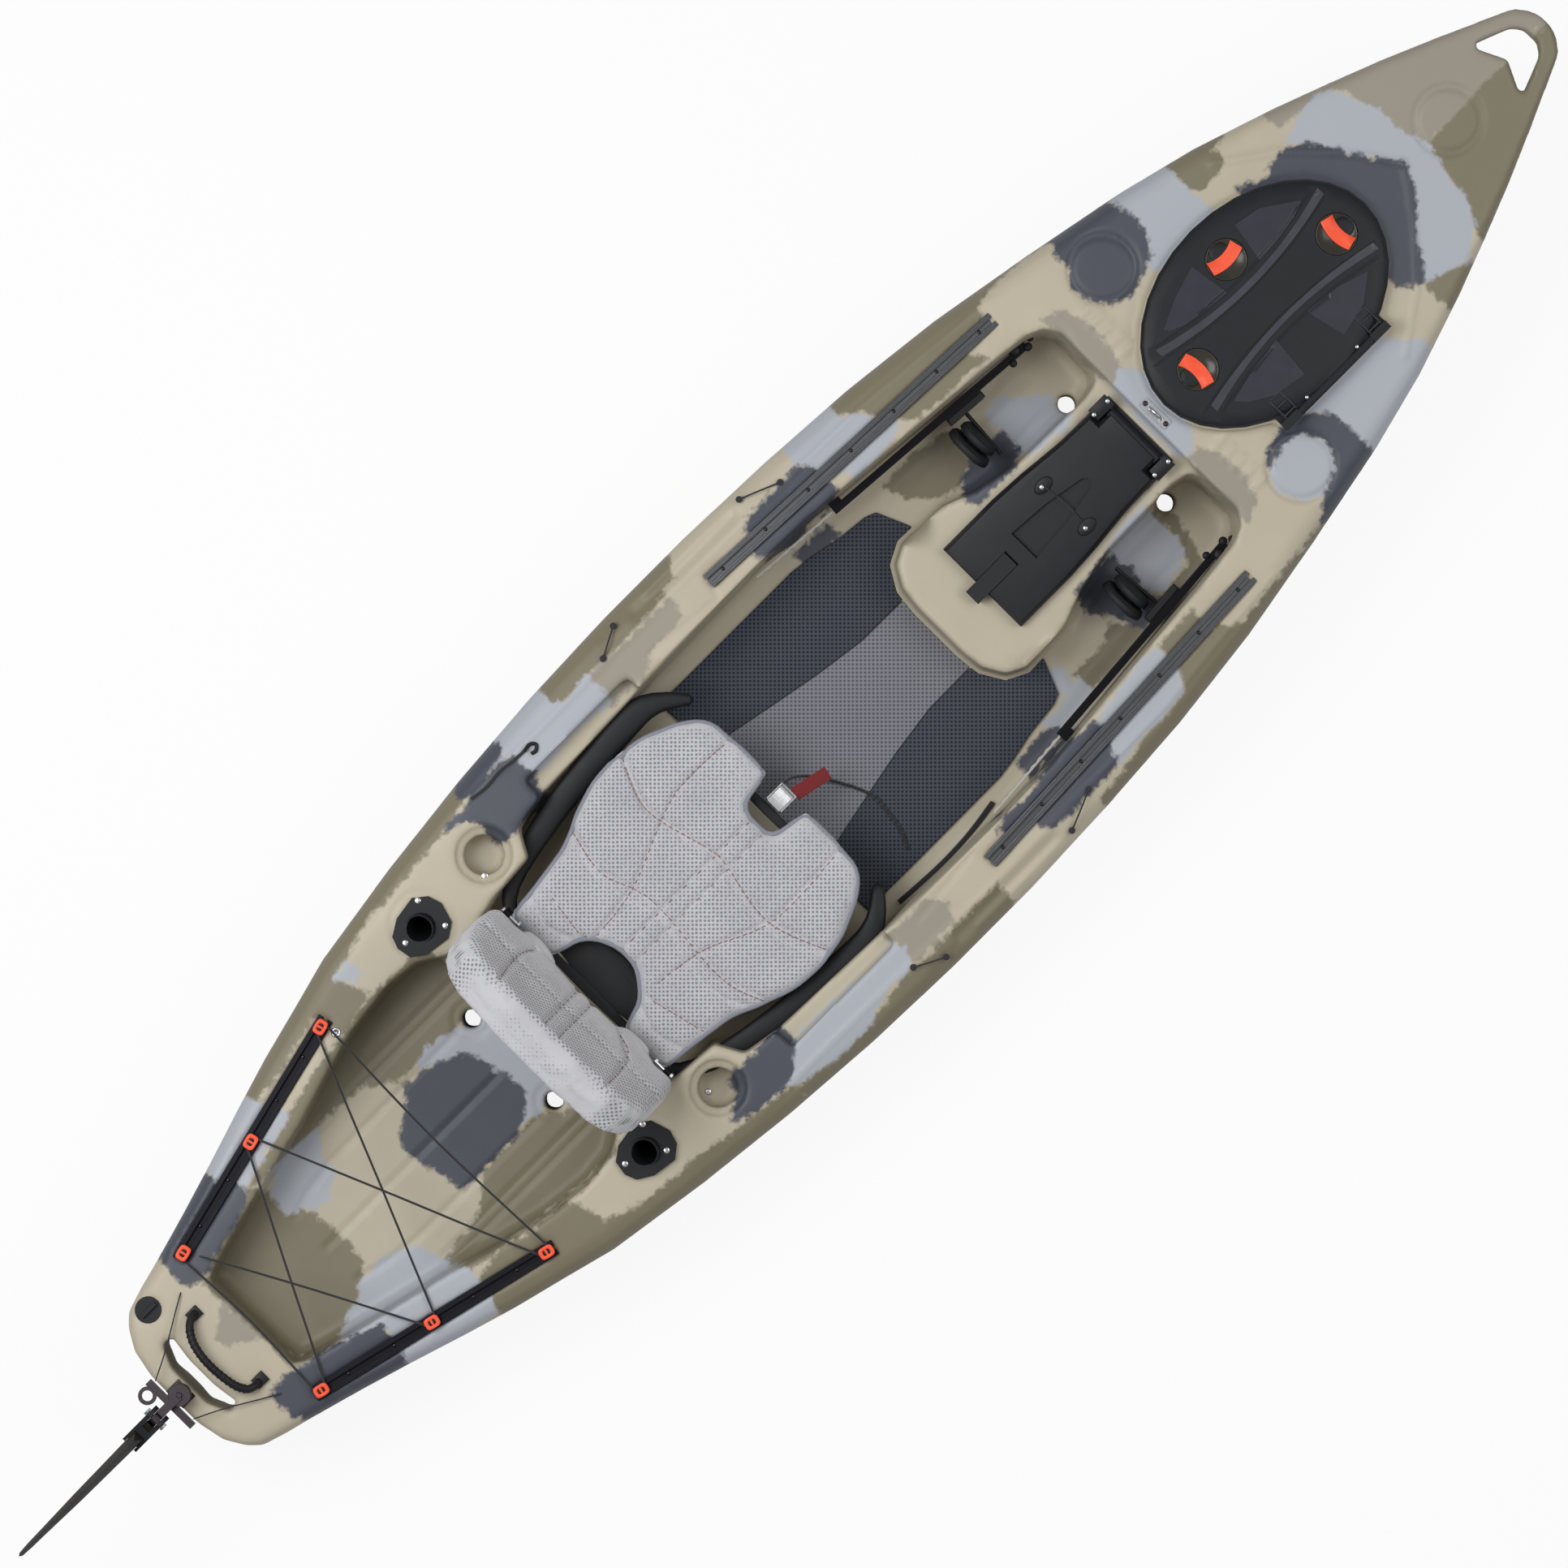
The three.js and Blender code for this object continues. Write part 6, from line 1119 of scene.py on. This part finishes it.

# pod lid: eyelets joined by a thin cord, hinge ears with screws; the strap latch stays the imported solid
pod = {"hinge": (320.05, 0, 215), "tilt": -12.04, "foreshortening": 0.978, "face": 31.3}
podFrame = shift(*pod["hinge"]) @ turn(pod["tilt"], "Y")


def onPod(x, y, z=pod["face"]):
    return podFrame @ shift((x - pod["hinge"][0]) / pod["foreshortening"], y, z)


eyelets = [onPod(534, 52), onPod(537, -56)]
disc = ((15, -1), (15, 1.2), (13, 2.4), (5, 2.6))
joinedObject("podEyelets", [(turned(disc, 28), at @ Matrix.Diagonal((1.35, 0.85, 1, 1))) for at in eyelets],
    "nylon", "pod_lid")
stud = ((5, 2), (5, 3.4), (3, 4.6))
joinedObject("podStuds", [(turned(stud, 18), at @ shift(-4, 0, 0)) for at in eyelets], "stainless", "pod_lid")
first, last = (at @ vec(0, 0, 4) for at in eyelets)
podCord = []
for t in np.linspace(0, 1, 12):
    podCord.append(first.lerp(last, t) + vec(4, 0, -1) * math.sin(math.pi * t))
curveObject("podCord", podCord, 1.2 * mm, finishes["braid"], "pod_lid")
ears = [(blockShape((42, 26, 5), (0, 0, 0), 1.5), onPod(706, 77 * side, 33.5)) for _, side in sides]
joinedObject("podEars", ears, "nylon", "hull")
earScrew = ((4.5, 0), (4.5, 1.2), (3, 2.2))
places = [onPod(x, 77 * side, 36) for _, side in sides for x in (688, 722)]
joinedObject("podEarScrews", [(turned(earScrew, 18), place) for place in places], "stainless", "hull")

# stern handle: ribbed grip and flat feet; the real grip is rubber on a webbing core, its feet held by screws
handle = {
    "line": [(-1612, 84, 303), (-1618, 84, 312), (-1634, 74, 322), (-1648, 52, 330), (-1655, 25, 334),
             (-1657, -5, 334), (-1655, -35, 332), (-1650, -62, 327), (-1640, -80, 320), (-1626, -85, 312),
             (-1618, -84, 303)],
    "radius": 7.5,
}
gripLine = smoothLine([vec(*p) for p in handle["line"]], 3)
grip = curveObject("sternHandle", gripLine, handle["radius"] * mm, finishes["nylon"], "hull")
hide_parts("stern_handle")
ribs = []
for a, b in zip(gripLine[7:-7], gripLine[8:-6]):
    ribs.append((turned([(8.2, -1.2), (9, 0), (8.2, 1.2)], 16), aimed(a, b - a)))
feet = [blockShape((26, 22, 6), (-1614, 84 * side, 303.5), 2) for _, side in sides]
joinedObject("sternHandleRibs", ribs + feet, "nylon", "hull")

# seat frame: side rails that widen into wings, crossbars under the padding
seatRails = {
    "port": [(-712, 165, 12), (-690, 212, 14), (-640, 238, 20), (-560, 258, 24), (-470, 272, 26), (-380, 280, 27),
        (-300, 286, 30), (-265, 284, 26), (-225, 262, 16), (-190, 225, 12)],
    "starboard": [(-712, -185, 12), (-690, -232, 14), (-640, -256, 20), (-560, -276, 22), (-470, -290, 24),
        (-380, -298, 25), (-300, -305, 28), (-262, -300, 24), (-225, -278, 16), (-190, -240, 12)],
    "bars": [(-655, -15, 300, 96), (-700, -10, 350, 22), (-640, -10, 420, 16), (-450, -10, 520, 20),
        (-240, -10, 470, 20)],
    "low": 224,
    "high": 243,
    "barHeight": 16,
    "barMiddle": 232,
}


def railShape(stations, low, high):
    bm = bmesh.new()
    rings = []
    centres = [Vector((x, y)) for x, y, _ in stations]
    for i, (x, y, half) in enumerate(stations):
        along = (centres[min(i + 1, len(centres) - 1)] - centres[max(i - 1, 0)]).normalized()
        across = Vector((-along.y, along.x))
        rise = 0.45 * half
        ring = [(-1, low), (-1, high - 3), (-0.8, high + rise * 0.1), (0, high + rise * 0.35),
            (0.8, high + rise * 0.1), (1, high - 3), (1, low)]
        rings.append([bm.verts.new(vec(x + across.x * half * s, y + across.y * half * s, z)) for s, z in ring])
    skinRings(bm, rings)
    bm.faces.new(rings[0])
    bm.faces.new(rings[-1][::-1])
    bmesh.ops.recalc_face_normals(bm, faces=bm.faces)
    return bm


shapes = [railShape(seatRails[name], seatRails["low"], seatRails["high"]) for name in ("port", "starboard")]
for x, y, length, width in seatRails["bars"]:
    shapes.append(blockShape((width, length, seatRails["barHeight"]), (x, y, seatRails["barMiddle"]), 3))
seatPan = joinedObject("seatPan", shapes, "nylon", "seat")
addModifier(seatPan, "SUBSURF", levels=1, render_levels=1)
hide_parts("seat_frame")

# toe pads: two ribbed ovals, one behind the other
toePad = {"half": (46, 50), "pitch": 9, "lean": 78, "ovals": ((-20, 1.0), (4, 0.86))}  # ovals: place along, scale
for sideName, side in sides:
    nodeName = f"toe_pad_{sideName}"
    low, high = boxOf(nodeName)
    middle = (low + high) / 2
    shapes = []
    for offset, scale in toePad["ovals"]:
        halfX, halfY = (half * scale for half in toePad["half"])
        stand = shift(middle.x + offset, middle.y, middle.z) @ turn(toePad["lean"], "Y") @ turn(90, "Z")
        shapes.append((extruded(oval(halfX * mm, halfY * mm, 36), -6 * mm, 6 * mm, 0.004), stand))
        for step in np.arange(-36, 37, toePad["pitch"]) * scale:
            half = halfX * math.sqrt(max(0, 1 - (step / halfY) ** 2)) - 3
            shapes += [(blockShape((2 * half, 4, 3), (0, step, z), 1), stand) for z in (-6.5, 6.5)]
    shapes.append(blockShape((24, 30, 34), (middle.x - 8, middle.y, middle.z - 10), 3))
    pad = joinedObject(f"toePad_{sideName}", shapes, "wheelRubber", nodeName)
    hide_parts(nodeName)
print("replaced pieces done")


rounding = {"plain": 0.0010, "fine": 0.0004, "segments": 2, "angle": 34}  # widths in metres


# rigid solids: their own finish, with small rounded edges
def dress(nodeName, finish, width):
    obj = nodes[nodeName]
    mesh = obj.data
    if "custom_normal" in mesh.attributes:
        mesh.attributes.remove(mesh.attributes["custom_normal"])
    mesh.materials.clear()
    mesh.materials.append(finishes[finish])
    mesh.polygons.foreach_set("use_smooth", [True] * len(mesh.polygons))
    addModifier(obj, "WELD", merge_threshold=0.02 * mm)
    addModifier(obj, "DECIMATE", decimate_type="DISSOLVE", angle_limit=math.radians(1.5))
    addModifier(obj, "BEVEL", width=width, segments=rounding["segments"], limit_method="ANGLE",
        angle_limit=math.radians(rounding["angle"]), harden_normals=True)


dressing = {
    "wheelRubber": ["keel_wheel"],
    "stainless": ["wheel_axle", "hatch_hinge_rod", "deck_eye", "rudder_bolt", "seat_buckle", "buckle_lever",
        "seat_pivot"],
    "nylon": ["hatch_ring", "pod_tub", "pod_latch", "drain_plug", "blade_holder", "rod_holder", "pedal_carriage"],
    "lidPlastic": ["hatch_lid", "pod_lid"],
    "blackSteel": ["rudder_bracket", "rudder_head"],
    "bladeNylon": ["rudder_blade"],
    "anodisedBar": ["seat_back_frame"],
    "trackGrey": ["front_track"],
    "anodised": ["rear_track", "foot_rail"],
    "acetal": ["foot_rack"],
}
fine = {"seat_buckle", "buckle_lever", "rudder_bolt", "deck_eye", "hatch_hinge_rod", "wheel_axle"}
dressed = 0
for finish, names in dressing.items():
    for name in names:
        for nodeName in (name, name + "_port", name + "_starboard"):
            if nodeName in nodes:
                dress(nodeName, finish, rounding["fine" if name in fine else "plain"])
                dressed += 1
print("rigid solids dressed:", dressed)


# screws: pan heads, 2 mm high, sunk a little into the surface; radius in mm
def screws(name, places, body, finish="stainless", radius=4.5):
    head = ((radius, 0), (radius, 0.9), (radius * 0.82, 1.7), (radius * 0.45, 2))
    shapes = []
    for x, y in places:
        shapes.append((turned(head, 20), shift(x, y, surfaceHeight(x, y) / mm - 0.2)))
    return joinedObject(name, shapes, finish, body)


screws("screws_rodHolder", [(-870, 286), (-800, 324), (-797, 257), (-873, -276), (-803, -312), (-800, -248)],
    "hull", radius=6)
screws("screws_seatWing", [(-684, 270), (-678, -292)], "hull", radius=6.5)
low, high = boxOf("deck_eye")
screws("screws_deckEye", [((low.x + high.x) / 2, y) for y in (low.y + 5, high.y - 5)], "hull", "blackSteel", 5)


# thin cords and straps lying on the deck: route in mm, on the surface below
def laidCord(name, route, radius, finish):
    points = [vec(x, y, surfaceHeight(x, y) / mm + radius) for x, y in route]
    return curveObject(name, smoothLine(points, 4), radius * mm, finishes[finish], "hull")


laidCord("sideBungee", [(-603, 386), (-570, 381), (-530, 384), (-500, 380), (-470, 378)], 3, "braid")
laidCord("bungeeHook", [(-472, 378), (-458, 380), (-450, 372), (-458, 364), (-468, 366)], 3.5, "nylon")
laidCord("thighStrap", [(-190, -297), (-150, -300), (-80, -303), (-10, -300), (60, -290)], 5, "blackWebbing")
eyelet = turned(((9, 0), (9, 1.5), (7, 2.5), (4, 2.0), (3.5, 0.5)), 24)
joinedObject("tankEyelet", [(eyelet, shift(-1073, 261, surfaceHeight(-1073, 261) / mm))], "stainless", "hull")
tracks = {"front": ((-22, 358), (676, 328), np.linspace(0.05, 0.95, 7)),
          "rear": ((-1564, 172), (-1068, 292), (0.14, 0.33, 0.66, 0.84))}
for sideName, side in sides:
    for track, (start, end, along) in tracks.items():
        start, end = (Vector((x, y * side)) for x, y in (start, end))
        places = [tuple(start.lerp(end, t)) for t in along]
        screws(f"screws_{track}Track_{sideName}", places, "hull", "blackSteel", 3.5)


# long ridges along the tracks' faces
def ridges(name, start, end, offsets, body):
    along = (end - start).normalized()
    across = Vector((-along.y, along.x, 0)).normalized()
    shapes = []
    for offset in offsets:
        a, b = start + across * offset * mm, end + across * offset * mm
        ridge = blockShape(((b - a).length / mm, 1.6, 2.0), (0, 0, 0.2), 0.5)
        shapes.append((ridge, aimed((a + b) / 2, b - a, "X", "Z")))
    return joinedObject(name, shapes, "trackGrey", body)


for sideName, side in sides:
    ridges(f"ridges_frontTrack_{sideName}", vec(-20, 358 * side, 302.3), vec(674, 328.2 * side, 316.0),
        (-12, -8, 8, 12), "hull")
screws("screws_hatchHinge", [(970, -172), (1098, -172)], "hatch_lid", radius=3.5)
for sideName, side in sides:
    knobs = []
    for x, y, radius in ((668, 262, 11), (690, 250, 8), (650, 247, 7), (704, 258, 6)):
        knobs.append((turned([(radius, -9), (radius, 7), (radius * 0.7, 10)], 14), shift(x, y * side, 206)))
    joinedObject(f"railEnd_{sideName}", knobs, "nylon", "hull")
print("screws done")

# stage: pale floor that stays white to the camera and keeps a soft shadow
studio = {
    "paint": "#dedede",
    "floorGlow": 0.9,
    "worldLight": 0.37,
    "lampSize": 3.0,
    "lamps": {"softKey": ((-1.8, 2.2, 5.0), 210), "softFill": ((2.6, -1.8, 5.0), 100)},  # place and watts
}
floorMaterial = newMaterial("studio floor, painted")
rays = addNode(floorMaterial, "ShaderNodeLightPath")
seen = math2(floorMaterial, "MULTIPLY", rays.outputs["Is Camera Ray"], studio["floorGlow"])
paint = addNode(floorMaterial, "ShaderNodeBsdfDiffuse", {"Color": toLinear(studio["paint"])})
glow = addNode(floorMaterial, "ShaderNodeEmission", {"Color": (1, 1, 1, 1), "Strength": 1.0})
blendShader = addNode(floorMaterial, "ShaderNodeMixShader",
    links={0: seen, 1: paint.outputs[0], 2: glow.outputs[0]})
addNode(floorMaterial, "ShaderNodeOutputMaterial", links={"Surface": blendShader.outputs[0]})
floorMesh = bpy.data.meshes.new("floor")
floorMesh.from_pydata([(-12, -12, 0), (12, -12, 0), (12, 12, 0), (-12, 12, 0)], [], [(0, 1, 2, 3)])
floorMesh.materials.append(floorMaterial)
floor = bpy.data.objects.new("floor", floorMesh)
floor.location.z = -0.0005
collection.objects.link(floor)

world = bpy.data.worlds.new("studio")
scene.world = world
world.use_nodes = True
background = world.node_tree.nodes["Background"].inputs
background["Color"].default_value = (1, 1, 1, 1)
background["Strength"].default_value = studio["worldLight"]
for name, (place, energy) in studio["lamps"].items():
    lamp = bpy.data.lights.new(name, "AREA")
    lamp.energy, lamp.size = energy, studio["lampSize"]
    lampObject = bpy.data.objects.new(name, lamp)
    collection.objects.link(lampObject)
    lampObject.location = place
    lampObject.rotation_euler = (Vector((0, 0, 0.3)) - Vector(place)).to_track_quat("-Z", "Y").to_euler()
scene.view_settings.view_transform = "Standard"
